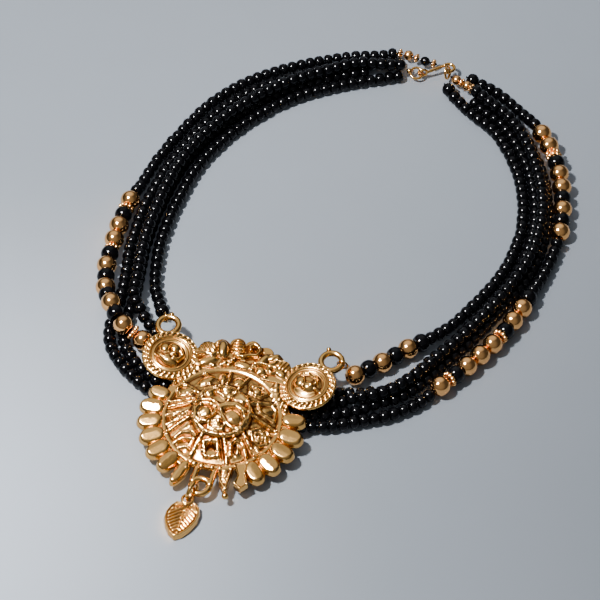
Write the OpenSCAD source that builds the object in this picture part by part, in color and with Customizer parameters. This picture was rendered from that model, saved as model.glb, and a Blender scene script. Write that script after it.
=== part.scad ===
// Mangalsutra laid out on a flat floor: five strings of black seed beads
// with gold and larger black beads, a cast gold pendant and a hook clasp.
// Sizes are in mm. The floor is z = 0.

/* [Beads] */
// seed bead across, also the tube that stands for a row of seed beads
seed_d = 3.5; // [3.3:0.05:3.6]
// large gold bead across
gold_d = 6; // [5.4:0.1:6.1]
// large gold bead along its thread
gold_len = 5.5; // [5:0.1:5.6]
// larger black bead across
black_d = 5.4; // [5:0.1:5.6]
// black bead across, at the clasp and the left loop
end_black_d = 4.3; // [3.8:0.1:4.6]
// larger black bead along its thread
black_len = 3.4; // [3:0.1:3.6]
// granulated gold spacer across
spacer_d = 5.2; // [4.8:0.1:5.4]
// granulated gold spacer along its thread
spacer_len = 1.5; // [1.2:0.1:1.8]
// gap left between neighbouring beads on a thread
bead_gap = 0.15; // [0.12:0.01:0.18]

/* [Thread] */
// thread across
thread_d = 0.7; // [0.5:0.05:0.8]
// hole drilled through every bead
bead_bore = 1.7; // [1.6:0.1:1.8]

/* [Pendant] */
// outer radius of the main disc
disc_r = 17.5; // [17:0.1:17.8]
// height of the boss wall above the pendant's back
boss_h = 4.7; // [4.4:0.1:5]
// radius of the two side discs
side_r = 8.3; // [8:0.1:8.5]
// thickness of a side disc at its rim
side_t = 2.4; // [2:0.1:2.8]
// radius that the petal tips reach
petal_reach = 24.4; // [24:0.1:24.8]
// width of one petal
petal_w = 4.4; // [4:0.1:4.7]
// radius to the middle of the wire of a hanging loop
loop_r = 3.05; // [2.9:0.05:3.15]
// wire thickness of a hanging loop
loop_wire = 1.6; // [1.4:0.1:1.7]

/* [Leaf drop] */
// leaf length below its eye
leaf_len = 11.6; // [11:0.1:12]
// leaf width
leaf_w = 9.6; // [9:0.2:10]
// leaf thickness at its edge
leaf_t = 1.5; // [1.3:0.1:1.7]

/* [Clasp] */
// wire thickness of the hook
hook_wire = 1; // [0.9:0.05:1.05]
// wire thickness of the two end rings
ring_wire = 0.8; // [0.7:0.05:0.85]
// radius to the middle of an end ring's wire
ring_r = 1.9; // [1.85:0.05:1.95]

/* [Hidden] */
// shift that puts the footprint's middle on the origin
centre_x = -0.26;
centre_y = -0.3;
floor_z = seed_d / 2 + 0.02;
gold_z = gold_d / 2 + 0.05;
top_z = 5;
over_z = 5.6;
tube_sides = 8;
ring_fn = 48;
small_fn = 24;

// Strings, as [x, y, z] of the thread. Left ones run from the clasp to the
// pendant's middle, right ones from the clasp to meet them there.
outer_left = [
    [32.8, 88.3, 2.6], [28.8, 89.9, 2.6], [23.6, 92.6, 2.6],
    [20.5, 93.8, 2.3], [17, 93.2, floor_z], [8.5, 92.6, floor_z],
    [-0.5, 91.3, floor_z], [-9.5, 89, floor_z], [-18, 86, floor_z],
    [-26.5, 81.8, floor_z], [-34.5, 75.9, floor_z], [-41, 69.3, floor_z],
    [-46.8, 61.2, floor_z], [-51.8, 53.2, floor_z], [-56.3, 45, floor_z],
    [-59.5, 37.2, floor_z], [-61.2, 33.2, 2.8], [-63, 29, gold_z],
    [-65.4, 21, gold_z], [-67.3, 12, gold_z], [-68.8, 3.5, gold_z],
    [-68.8, -5.5, 3.6], [-68, -10, 5], [-66.5, -14.5, 6.7],
    [-65.2, -18.5, 6.9], [-62.8, -22.6, 6.5], [-57.4, -25.6, 3.4],
    [-52.8, -29.4, floor_z], [-46.5, -35.4, floor_z],
    [-38.5, -40.4, floor_z], [-30, -44.1, floor_z]
];
second_left = [
    [22, 89, 2.4], [17, 89.5, floor_z], [8.5, 88.9, floor_z],
    [-0.5, 87.4, floor_z], [-8.5, 84.8, floor_z], [-16.5, 81.8, floor_z],
    [-24.5, 78, floor_z], [-31.8, 72.6, floor_z], [-37.8, 66.6, floor_z],
    [-43.4, 58.8, floor_z], [-48.2, 51, floor_z], [-52.4, 43.2, floor_z],
    [-55.6, 35.3, floor_z], [-58.4, 27.8, floor_z], [-60.4, 19.8, floor_z],
    [-62.1, 11, floor_z], [-62.8, 3, floor_z], [-63.7, -6, floor_z],
    [-65.2, -14, floor_z], [-66.9, -21, floor_z], [-66.2, -27.2, floor_z],
    [-62.6, -34.4, floor_z], [-57, -41, floor_z], [-48.5, -48.2, floor_z],
    [-40, -52.5, floor_z], [-30.5, -55, floor_z]
];
third_left = [
    [10.8, 85.5, floor_z], [8, 85.1, floor_z], [-2, 82.5, floor_z],
    [-11.5, 79.2, floor_z], [-20, 74.6, floor_z], [-28.5, 68, floor_z],
    [-36, 60.8, floor_z], [-42.3, 52.8, floor_z], [-47.8, 43.4, floor_z],
    [-51.8, 33.4, floor_z], [-54.8, 23.5, floor_z], [-57.2, 13.6, floor_z],
    [-58.6, 4.3, floor_z], [-59.4, -4.4, floor_z], [-60.8, -12.4, floor_z],
    [-62.4, -19, floor_z], [-62.4, -25.4, floor_z], [-59.8, -31.8, floor_z],
    [-54, -38.6, floor_z], [-46, -44.4, floor_z], [-38, -48.2, floor_z],
    [-29.5, -50.9, floor_z]
];
top_left = [
    [22.5, 85.9, 4.9], [15.5, 85.4, 5.4], [8, 86.2, 5.5], [-2, 82.9, over_z],
    [-11.5, 79.2, over_z], [-20, 74.6, over_z], [-28.5, 68, over_z],
    [-36, 60.8, over_z], [-42.3, 52.8, over_z], [-47.8, 43.4, over_z],
    [-51.8, 33.4, over_z], [-54.8, 23.5, over_z], [-57.2, 13.6, over_z],
    [-58.6, 4.3, over_z], [-59.4, -4.4, over_z], [-60, -10.5, 5.4],
    [-57.8, -15.5, 4.3], [-54.8, -20.4, 2.6],
    [-51.2, -24.6, floor_z], [-44.5, -31, floor_z],
    [-36.5, -36.2, floor_z], [-28, -40.2, floor_z]
];
inner_left = [
    [21.8, 84, floor_z], [17, 83, floor_z], [8, 81.2, floor_z],
    [-1, 78.7, floor_z], [-10, 75.4, floor_z], [-18, 71, floor_z],
    [-26, 64.8, floor_z], [-33, 57.9, floor_z], [-39, 50.4, floor_z],
    [-44, 41.5, floor_z], [-47.8, 32, floor_z], [-50.8, 22.5, floor_z],
    [-53, 13, floor_z], [-54, 4, floor_z], [-54, -4, floor_z],
    [-52.8, -10.4, floor_z], [-51.6, -14.6, 2.8], [-50.9, -17, 4.2]
];
outer_right = [
    [42, 82.6, 2.6], [46.8, 79.9, floor_z], [52.8, 74.8, floor_z],
    [58.8, 67.3, floor_z], [62.8, 61, 3], [65, 56.4, gold_z],
    [67, 50.6, gold_z], [68.8, 42.5, gold_z], [69.4, 33.5, gold_z],
    [68.9, 24, gold_z], [67.4, 14.7, gold_z], [65.6, 9.4, 2.2],
    [61.2, -1.2, 2.2], [57.2, -8.4, 2.8], [54.6, -13.6, gold_z],
    [49.4, -22.2, gold_z], [44.2, -28.6, gold_z], [36.6, -36.4, gold_z],
    [28.8, -43.4, gold_z], [24.8, -46.8, floor_z], [20.8, -49.6, floor_z],
    [13, -53, floor_z], [5, -54.9, floor_z], [-3, -56.5, floor_z],
    [-12, -56.6, floor_z], [-21, -56.2, floor_z], [-30.1, -55, floor_z]
];
second_right = [
    [46.5, 75.3, floor_z], [49.4, 71.5, floor_z], [55.6, 64.4, floor_z],
    [60.4, 53.6, floor_z], [63.3, 43.4, floor_z], [64.6, 33.3, floor_z],
    [64.3, 22.3, floor_z], [61.8, 10.6, floor_z], [57.7, 0.3, floor_z],
    [52, -8.6, floor_z], [46, -16.8, floor_z], [38.7, -26, floor_z],
    [30.3, -34.9, floor_z], [23.4, -42, floor_z], [17.3, -46.3, floor_z],
    [10.5, -48.8, floor_z], [5, -51.2, floor_z], [-1, -52.4, floor_z],
    [-11, -52.5, floor_z], [-20, -52.3, floor_z], [-29.1, -50.9, floor_z]
];
third_right = [
    [43.5, 72.9, floor_z], [46.2, 69.1, floor_z], [52.4, 62.2, floor_z],
    [57, 52.4, floor_z], [59.7, 42.7, floor_z], [60.9, 33.2, floor_z],
    [60.6, 22.5, floor_z], [58.2, 11.4, floor_z], [54.3, 1.9, floor_z],
    [49, -6.6, floor_z], [43.1, -14.5, floor_z], [36.2, -23.2, floor_z],
    [27.6, -32.3, floor_z], [20.6, -39.4, floor_z], [12.8, -44.1, floor_z],
    [5, -44.8, floor_z], [-3, -44.7, floor_z], [-11, -44.6, floor_z],
    [-19, -43.1, floor_z], [-27.6, -40.2, floor_z]
];
top_right = [
    [37.2, 82, 3.2], [41.7, 77.9, 3.6], [43.5, 75.8, 4.2],
    [45.2, 73.4, top_z], [48, 69.9, top_z], [54, 63.2, top_z],
    [58.8, 53, top_z], [61.6, 43, top_z], [62.8, 33.3, top_z],
    [62.5, 22.4, top_z], [60, 11, top_z], [56, 1.1, top_z],
    [50.6, -7.6, top_z], [44.6, -15.8, top_z], [37.5, -24.6, top_z],
    [28.9, -33.7, top_z], [22, -40.6, 5.2], [15.8, -45.4, 5.3],
    [10, -47.8, 5.3], [5, -48, 4.4], [1, -48.4, 2.5],
    [-2, -48.6, floor_z], [-11, -48.5, floor_z], [-20, -47, floor_z],
    [-29.6, -44.1, floor_z]
];
inner_right = [
    [35, 79.6, 2.6], [38, 74.3, floor_z], [43.3, 66.8, floor_z],
    [49.3, 60.2, floor_z], [53.6, 51, floor_z], [56.1, 42, floor_z],
    [57.2, 33, floor_z], [57, 23, floor_z], [54.6, 12.5, floor_z],
    [51, 3.5, floor_z], [46, -4.5, floor_z], [40.3, -11.9, floor_z],
    [33.5, -19.5, floor_z], [26, -25.7, 2.8], [20, -29.4, gold_z],
    [12.4, -34.6, gold_z], [4.4, -39.2, gold_z], [2.6, -40, gold_z]
];

// Bead groups as [distance along the string, kinds in order]. Kinds: g gold,
// k black, c the smaller black at a string's end, f flower spacer, w wide
// spacer, s thin spacer; at the clasp b small gold, m small black, n small
// spacer; - is a short empty stretch.
clasp_left_group = [0.3, "n-m-n-b-n"];
left_group = [124.8, "gfkggskgkgkgkgfg"];
left_last_group = [138.4, "c"];
clasp_outer_group = [0.6, "c"];
clasp_top_group = [0.9, "bnbn"];
clasp_inner_group = [0.9, "c"];
upper_group = [32, "ggwkggkgkg"];
lower_group = [103.2, "kggkfgggkfg"];
inner_group = [122.2, "kgkgkg"];

// Length along the thread of each kind.
small_gold_d = 3.2;
small_gold_len = 2.6;
small_black_d = 3.1;
small_black_len = 2.8;
small_spacer_d = 3.2;
thin_share = 0.8;
wide_share = 1.8;
empty_len = 0.5;
function kind_len(k) =
    k == "g" ? gold_len :
    k == "k" || k == "c" ? black_len :
    k == "b" ? small_gold_len :
    k == "m" ? small_black_len :
    k == "w" ? spacer_len * wide_share :
    k == "s" ? spacer_len * thin_share :
    k == "-" ? empty_len :
    spacer_len;
function kind_start(g, j) =
    j == 0 ? g[0] : kind_start(g, j - 1) + kind_len(g[1][j - 1]) + bead_gap;
function group_end(g) = kind_start(g, len(g[1])) - bead_gap;

// Walking along a string.
function seg(r, i) = norm(r[i + 1] - r[i]);
function reach(r, i) = i == 0 ? 0 : reach(r, i - 1) + seg(r, i - 1);
function whole(r) = reach(r, len(r) - 1);
function at(r, s, i = 0) =
    s <= seg(r, i) || i == len(r) - 2 ?
        r[i] + (r[i + 1] - r[i]) * s / seg(r, i) :
        at(r, s - seg(r, i), i + 1);
function unit(v) = v / norm(v);
function along(r, s, half) = unit(at(r, s + half) - at(r, s - half));

module centred() {
    translate([centre_x, centre_y, 0])
        children();
}

// Stretches of one string as [from, to, thickness]: seed beads, and bare
// thread where a bead group sits.
shortest_row = 3;
row_gap = 0.3;
function stretches(r, groups) = [
    for (i = [0 : len(groups)])
        let (a = i == 0 ? 0 : group_end(groups[i - 1]) + row_gap)
        let (b = i == len(groups) ? whole(r) : groups[i][0] - row_gap)
        each [
            if (b > a) [a, b, b - a > shortest_row ? seed_d : thread_d],
            if (i < len(groups))
                [b, group_end(groups[i]) + row_gap, thread_d]
        ]
];
function rings(r, groups) = [
    for (x = stretches(r, groups)) each [
        [x[0], x[2]],
        for (i = [1 : len(r) - 2])
            if (reach(r, i) > x[0] + 0.5 && reach(r, i) < x[1] - 0.5)
                [reach(r, i), x[2]],
        [x[1], x[2]]
    ]
];

module string(r, groups = []) {
    q = rings(r, groups);
    n = len(q);
    m = tube_sides;
    points = [
        for (x = q)
            let (t = along(r, x[0], 0.4))
            let (u = unit(cross(t, [0, 0, 1])))
            let (v = cross(u, t))
            for (k = [0 : m - 1])
                let (a = 360 * (k + 0.5) / m)
                at(r, x[0]) + (u * cos(a) + v * sin(a)) * x[1] / 2
    ];
    faces = [
        [for (k = [0 : m - 1]) k],
        for (i = [0 : n - 2]) for (k = [0 : m - 1])
            let (next = (k + 1) % m)
            [i * m + k, (i + 1) * m + k, (i + 1) * m + next, i * m + next],
        [for (k = [m - 1 : -1 : 0]) (n - 1) * m + k]
    ];
    color("#16161a")
        centred()
            polyhedron(points, faces);
}

// Turns +Z of its child to run along the string at bead j of a group.
module on_string(r, g, j) {
    half = kind_len(g[1][j]) / 2;
    s = kind_start(g, j) + half;
    d = along(r, s, half);
    centred()
        translate(at(r, s))
            rotate([0, acos(d[2]), atan2(d[1], d[0])])
                children();
}

module drilled(length) {
    difference() {
        children();
        cylinder(h = length * 2, d = bead_bore, center = true, $fn = small_fn);
    }
}

module ball(across, length) {
    drilled(across)
        intersection() {
            sphere(d = across, $fn = ring_fn);
            cube([across * 2, across * 2, length], center = true);
        }
}

// Rows of small balls round a washer.
granule_share = 0.25;
module granules(across, length, count, row_count = 1) {
    ball_d = across * granule_share;
    middle = across / 2 - ball_d / 2;
    drilled(across)
        union() {
            cylinder(h = length * 0.7, r = middle * 0.97, center = true, $fn = ring_fn);
            for (row = [0 : row_count - 1]) for (k = [0 : count - 1])
                translate([0, 0, (row - (row_count - 1) / 2) * ball_d * 0.95])
                    rotate([0, 0, 360 * k / count])
                        translate([middle, 0, 0])
                            sphere(d = ball_d, $fn = small_fn);
        }
}

module bead(k) {
    if (k == "g") ball(gold_d, gold_len);
    if (k == "k") ball(black_d, black_len);
    if (k == "c") ball(end_black_d, black_len);
    if (k == "b") ball(small_gold_d, small_gold_len);
    if (k == "m") ball(small_black_d, small_black_len);
    if (k == "f") granules(spacer_d, spacer_len, 10);
    if (k == "s") granules(spacer_d * 0.9, spacer_len * thin_share, 10);
    if (k == "w") granules(spacer_d, spacer_len * wide_share, 9, 2);
    if (k == "n") granules(small_spacer_d, spacer_len, 6);
}

// Every bead of a group whose kind is one of the letters given.
module group_beads(r, g, kinds) {
    for (j = [0 : len(g[1]) - 1])
        if (len(search(g[1][j], kinds)) > 0)
            on_string(r, g, j)
                bead(g[1][j]);
}

module rod(a, b, across) {
    v = b - a;
    translate(a)
        rotate([0, acos(v[2] / norm(v)), atan2(v[1], v[0])])
            cylinder(h = norm(v), d = across, $fn = small_fn);
}

module hoop(r, wire) {
    rotate_extrude($fn = ring_fn)
        translate([r, 0])
            circle(d = wire, $fn = small_fn);
}

// Low round cap of the given radius and rise, standing on z = 0.
module cap(r, rise) {
    whole_r = (r * r + rise * rise) / (2 * rise);
    intersection() {
        translate([0, 0, rise - whole_r])
            sphere(r = whole_r, $fn = ring_fn);
        translate([0, 0, -0.5])
            cylinder(h = rise + 1, r = r, $fn = ring_fn);
    }
}

// The pendant's own frame: its middle, turned and pitched.
pendant_at = [-33.1, -56.1];
pendant_back = 3.9;
pendant_turn = -16;
pendant_pitch = 4;
// A point of the tilted and turned pendant, before the centring shift.
function placed(p) =
    let (y = p[1] * cos(pendant_pitch) - p[2] * sin(pendant_pitch))
    let (z = p[1] * sin(pendant_pitch) + p[2] * cos(pendant_pitch))
    [
        pendant_at[0] + p[0] * cos(pendant_turn) - y * sin(pendant_turn),
        pendant_at[1] + p[0] * sin(pendant_turn) + y * cos(pendant_turn),
        z + pendant_back
    ];

module in_turn() {
    translate([pendant_at[0] + centre_x, pendant_at[1] + centre_y, 0])
        rotate([0, 0, pendant_turn])
            children();
}

// Profile of the main disc as shares of [disc radius, boss height].
disc_profile = [
    [0, 0.28], [0.15, 0.28], [0.8, 0], [0.96, 0], [1, 0.12], [1, 0.3], [0.98, 0.38], [0.95, 0.4],
    [0.92, 0.36], [0.905, 0.3], [0.54, 0.72], [0.51, 0.74], [0.485, 0.95],
    [0.46, 1], [0.43, 0.98], [0.41, 0.9], [0.25, 1.02], [0, 1.02]
];
// Profile of a side disc as shares of [side disc radius, its thickness].
side_profile = [
    [0, 0], [0.8, 0], [0.99, 0.7], [1, 0.85], [0.98, 1], [0.94, 1.02],
    [0.92, 0.86], [0.79, 0.86], [0.77, 1.05], [0.73, 1.2], [0.69, 1.18],
    [0.66, 1], [0, 1.05]
];

disc_slope = 16;
field_in = 8.6;
field_out = 16;
field_top = 3.35;
field_low = 1.45;
function field_z(r) =
    field_top + (field_low - field_top) * (r - field_in) / (field_out - field_in);
function polar(r, a, z) = [r * cos(a), r * sin(a), z];

// Spokes as [inner angle, outer angle].
spokes = [
    [165, 178], [176, 185], [214, 217], [248, 254], [272, 263], [289, 293],
    [310, 308], [333, 320], [8, 358], [39, 42], [70, 72], [97, 97],
    [118, 118], [141, 140]
];
spoke_d = 1;

// Rings in the panels as [angle, radius out, ring radius].
panel_rings = [
    [154, 12.8, 1.9], [194, 12.6, 1.6], [236, 13, 1.9], [301, 12.7, 1.7],
    [341, 12.8, 2.1], [58, 12.6, 2.1], [85, 12.9, 1.6], [107, 12.9, 1.6],
    [128, 12.8, 1.5]
];
panel_wire = 0.7;

module panel_ring(a, r, ring) {
    translate(polar(r, a, field_z(r) + 0.1))
        rotate([0, 0, a])
            rotate([0, disc_slope, 0]) {
                hoop(ring, panel_wire);
                translate([0, 0, -0.1])
                    cap(ring * 0.6, 0.5);
            }
}

// Petals as [angle, reach as a share, width as a share].
petals = [
    [171, 0.97, 0.9], [184, 1, 1], [198, 1, 1], [212, 1, 1], [227, 1, 1],
    [242, 1, 0.95], [254, 1.06, 0.75], [12, 0.99, 1], [-5, 1, 1],
    [-20, 1, 1], [-34, 1, 1], [-48, 1, 1]
];
petal_root = 16.5;
petal_lift = 0.45;
// Side profile of a petal as shares of [its half width, its length].
petal_profile = [
    [0, 0], [0.7, 0], [0.94, 0.5], [1, 0.68], [0.97, 0.82], [0.8, 0.93],
    [0.45, 1], [0, 1]
];
module petal(a, reach, w) {
    r = petal_w * w / 2;
    length = petal_reach * reach - petal_root;
    rotate([0, 0, a])
        intersection() {
            translate([petal_root, 0, petal_lift])
                rotate([0, 90, 0])
                    rotate_extrude($fn = ring_fn)
                        polygon([for (q = petal_profile) [q[0] * r, q[1] * length]]);
            translate([petal_root - 1, -r - 1, 0])
                cube([petal_reach, r * 2 + 2, r + 2]);
        }
}

// Fishtail plate between the petals and the finial.
fishtail_angle = -61;
fishtail_t = 2.3;
fishtail = [
    [15, -3], [15, 3], [17, 2.5], [19, 1], [20.5, 1.3], [22.2, 1.9],
    [24.2, 0], [22.2, -1.9], [20.5, -1.3], [19, -1], [17, -2.5]
];

// Crest lobes as [angle, middle radius, lobe radius].
crest = [
    [118, 24.6, 2.4], [107, 25.2, 2.3], [97, 25.8, 2.3], [87, 25.6, 2.3],
    [77, 25, 2.3], [67, 24.2, 2.3], [59, 24.4, 2.2]
];
crest_t = 2;
// Scroll rings below the lobes, in the same columns.
scrolls = [
    [121, 20.6, 1.9], [108, 20.2, 1.9], [96, 20.6, 2], [84, 20.6, 2],
    [72, 20.3, 1.9], [58, 20.4, 1.9]
];
crest_from = 57;
crest_to = 123;
crest_r = 24.5;

module lobe(a, r, lobe_r) {
    translate(polar(r, a, 0)) {
        cylinder(h = crest_t, r = lobe_r, $fn = ring_fn);
        translate([0, 0, crest_t])
            hoop(lobe_r * 0.72, 0.7);
        translate([0, 0, crest_t - 0.1])
            cap(lobe_r * 0.5, 0.7);
    }
}

module crest_plate() {
    linear_extrude(crest_t)
        intersection() {
            circle(r = crest_r, $fn = ring_fn);
            polygon([
                [0, 0],
                [40 * cos(crest_from), 40 * sin(crest_from)],
                [0, 40],
                [40 * cos(crest_to), 40 * sin(crest_to)]
            ]);
        }
}

// Raised figures on the boss: two hoops, a bar and a ribbed drop.
boss_top = 4.75;
module boss_relief() {
    translate([-4.4, -1, boss_top])
        hoop(2.5, 0.9);
    translate([-4.4, -1, boss_top - 0.3])
        cap(1.7, 0.7);
    translate([3.6, -0.9, boss_top])
        hoop(3, 0.9);
    translate([3.6, -0.9, boss_top - 0.3])
        cap(2.2, 0.8);
    rod([-7.6, 1.5, boss_top - 0.1], [-1.2, 2.3, boss_top + 0.3], 1);
    rod([-1.8, 2.2, boss_top + 0.35], [5.6, 3.4, boss_top], 0.8);
    for (k = [0 : 4])
        rod(
            [-1.7 + k * 0.15, -3 - k * 0.85, boss_top - 0.1],
            [1 - k * 0.1, -3 - k * 0.85, boss_top - 0.1],
            0.6
        );
    for (x = [-4.6, -0.9, 3.1])
        translate([x, 5.2 - abs(x + 0.9) * 0.15, boss_top - 0.5])
            cap(1.5, 1.1);
    rod([-2.7, 3.2, boss_top - 0.1], [-2.8, 6.6, boss_top - 0.5], 0.6);
    rod([1.1, 3.3, boss_top - 0.1], [1.2, 6.7, boss_top - 0.5], 0.6);
}

side_at = [20.8, 16.5];
side_tilt = 7;
lug_d = 2.2;
lug_sink = 1.5;
module side_lug(e) {
    far = [e * side_at[0], side_at[1], lug_d / 2];
    way = unit([far[0], far[1], 0]);
    rod(way * (disc_r - lug_sink) + [0, 0, lug_d / 2], far, lug_d);
}
side_balls = 28;
side_ball_d = 1.3;
module side_disc(e) {
    translate([e * side_at[0], side_at[1], 0])
        rotate([0, -e * side_tilt, 0]) {
            rotate_extrude($fn = ring_fn)
                polygon([for (q = side_profile) [q[0] * side_r, q[1] * side_t]]);
            for (k = [0 : side_balls - 1])
                translate(polar(side_r * 0.855, 360 * k / side_balls, side_t * 0.9))
                    sphere(d = side_ball_d, $fn = small_fn);
            translate([0, 0, side_t])
                cap(side_r * 0.57, 1.5);
            translate([-e * 1.3, 0.9, side_t + 1.2])
                hoop(1.7, 0.8);
            translate([e * 1.5, -1.1, side_t + 1.1])
                hoop(1.5, 0.8);
        }
}

// Hanging loops beside the two discs.
loop_at = [24.7, 27.2];
loop_z = 0.85;
stem_sink = 1.4;
module side_loop(e) {
    from = [e * side_at[0], side_at[1], loop_z];
    to = [e * loop_at[0], loop_at[1], loop_z];
    way = unit(to - from);
    translate(to)
        hoop(loop_r, loop_wire);
    rod(from + way * (side_r - stem_sink), to - way * loop_r, loop_wire * 1.15);
    translate(to + [-(e + 1) * 0.3 * loop_r, loop_r + 0.55, 0.5])
        sphere(d = 1.5, $fn = small_fn);
}

drop_loop_at = [0.6, -23.1];
drop_loop_r = 2.5;
drop_loop_wire = 1.5;
leg_sink = 1.1;
module drop_loop() {
    translate([drop_loop_at[0], drop_loop_at[1], 0.9])
        hoop(drop_loop_r, drop_loop_wire);
    for (e = [-1, 1])
        rod(
            [drop_loop_at[0] + e * drop_loop_r, drop_loop_at[1], 0.9],
            [drop_loop_at[0] + e * drop_loop_r, leg_sink - disc_r, 0.9],
            drop_loop_wire
        );
}

module finial() {
    rod([5.2, -15.8, 1.1], [5.9, -17.6, 1.1], 3.4);
    translate([5.9, -17.6, 1.1])
        rotate([0, 90, -73])
            cylinder(h = 6.2, r1 = 1.9, r2 = 0.6, $fn = ring_fn);
    translate([7.9, -24.3, 1.1])
        sphere(d = 1.9, $fn = small_fn);
}

module disc_body() {
    rotate_extrude($fn = ring_fn)
        polygon([for (q = disc_profile) [q[0] * disc_r, q[1] * boss_h]]);
}

module pendant() {
    color("goldenrod")
        in_turn()
            translate([0, 0, pendant_back])
                rotate([pendant_pitch, 0, 0]) {
                    disc_body();
                    for (q = spokes)
                        rod(
                            polar(field_in, q[0], field_z(field_in) + 0.1),
                            polar(field_out, q[1], field_z(field_out) + 0.1),
                            spoke_d
                        );
                    for (q = panel_rings)
                        panel_ring(q[0], q[1], q[2]);
                    boss_relief();
                    for (q = petals)
                        petal(q[0], q[1], q[2]);
                    rotate([0, 0, fishtail_angle])
                        linear_extrude(fishtail_t)
                            polygon(fishtail);
                    crest_plate();
                    for (q = crest)
                        lobe(q[0], q[1], q[2]);
                    for (q = scrolls)
                        translate(polar(q[1], q[0], crest_t))
                            hoop(q[2], 0.8);
                    for (e = [-1, 1]) {
                        side_lug(e);
                        side_disc(e);
                        side_loop(e);
                    }
                    drop_loop();
                    finial();
                }
}

// Leaf drop: its eye, then the leaf lying on the floor below it.
eye_at = [-1.57, -27.8];
eye_z = 2.4;
eye_r = 1.5;
eye_wire = 0.9;
leaf_gap = 1.2;
// Leaf outline as shares of [leaf width, leaf length], from its top middle.
leaf_outline = [
    [0.1, 0.02], [-0.2, -0.03], [-0.42, -0.12], [-0.5, -0.3],
    [-0.49, -0.52], [-0.4, -0.72], [-0.22, -0.9], [0.02, -1],
    [0.22, -0.88], [0.4, -0.66], [0.5, -0.38], [0.49, -0.16],
    [0.38, -0.02], [0.25, 0.03]
];
rim_share = 0.84;
vein_count = 5;
module leaf_shape(share) {
    translate([0, -leaf_len * 0.5 * (1 - share)])
        polygon([
            for (q = leaf_outline)
                [q[0] * leaf_w * share, q[1] * leaf_len * share]
        ]);
}
module leaf_drop() {
    color("gold")
        in_turn()
            translate([eye_at[0], eye_at[1], 0]) {
                translate([0, 0, eye_z])
                    hoop(eye_r, eye_wire);
                rod([0, -eye_r, eye_z], [0, -eye_r - 1.4, 0.9], 1.5);
                translate([-0.2, -leaf_gap, 0]) {
                    linear_extrude(leaf_t)
                        leaf_shape(1);
                    linear_extrude(leaf_t + 0.5)
                        difference() {
                            leaf_shape(1);
                            leaf_shape(rim_share);
                        }
                    rod(
                        [0, -leaf_len * 0.12, leaf_t],
                        [0, -leaf_len * 0.93, leaf_t],
                        0.7
                    );
                    for (k = [0 : vein_count - 1]) for (e = [-1, 1])
                        let (y = -leaf_len * (0.3 + 0.12 * k))
                        let (reach = leaf_w * (0.36 - 0.045 * k))
                        rod(
                            [0, y, leaf_t],
                            [e * reach, y + reach * 0.45, leaf_t],
                            0.5
                        );
                }
            }
}

// Ring that joins the pendant's loop and the leaf's eye, standing upright.
drop_ring_at = [-0.95, -25.4, 3.28];
drop_ring_r = 2.6;
drop_ring_wire = 1.2;
module drop_ring() {
    color("gold")
        in_turn()
            translate(drop_ring_at)
                rotate([90, 0, 75.5])
                    hoop(drop_ring_r, drop_ring_wire);
}

// Small upright rings that hold the inner string on the side loops.
link_r = 1.5;
link_wire = 0.5;
link_out = 0.2;
link_z = 0.66;
// A link round the wire of side loop e, at the given angle of that loop.
module link(e, angle) {
    out = (loop_r + link_out) * [cos(angle), sin(angle), 0];
    translate(placed([e * loop_at[0], loop_at[1], link_z] + out))
        rotate([90, 0, angle + pendant_turn])
            hoop(link_r, link_wire);
}
module left_link() {
    color("gold")
        centred()
            link(-1, 122);
}
module right_link() {
    color("gold")
        centred()
            link(1, 0);
}

// Clasp: a ring on each side and a hook between them.
left_ring_at = [26.2, 84.6, 2.4];
right_ring_at = [36.05, 83.95, 3.3];
hook_eye_at = [28.2, 84.65, 2.55];
hook_eye_r = 1.3;
hook_curl_at = [36.6, 86, 3.4];
hook_curl_r = 1.7;
hook_tip_d = 1.7;
knot_d = 1.8;
module left_ring() {
    color("gold")
        centred()
            translate(left_ring_at) {
                rotate([20, 0, 0])
                    hoop(ring_r, ring_wire);
                translate([-ring_r - 0.3, 0.6, 0.3])
                    sphere(d = knot_d, $fn = small_fn);
            }
}
module right_ring() {
    color("gold")
        centred()
            translate(right_ring_at)
                rotate([0, 0, 68])
                    rotate([75, 0, 0])
                        hoop(ring_r, ring_wire);
}
// Angle where the curl of the hook leaves the arm and how far it turns.
curl_from = 140;
curl_turn = 245;
// The seams of the hook's balls are turned away from its wires.
joint_turn = -55;
module hook() {
    arm = hook_eye_at + [hook_eye_r, 0.2, 0];
    curl = hook_curl_at + hook_curl_r * [cos(curl_from), sin(curl_from), 0];
    last = curl_from - curl_turn;
    color("gold")
        centred() {
            translate(hook_eye_at)
                rotate([90, 0, 8])
                    hoop(hook_eye_r, hook_wire * 0.85);
            rod(arm, curl, hook_wire);
            translate(curl)
                rotate([0, 0, joint_turn])
                    sphere(d = hook_wire * 1.2, $fn = small_fn);
            translate(hook_curl_at) {
                rotate([0, 0, last])
                    rotate_extrude(angle = curl_turn, $fn = ring_fn)
                        translate([hook_curl_r, 0])
                            circle(d = hook_wire, $fn = small_fn);
                translate(hook_curl_r * [cos(last), sin(last), 0])
                    rotate([0, 0, last - 90])
                        sphere(d = hook_tip_d, $fn = small_fn);
            }
        }
}

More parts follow.
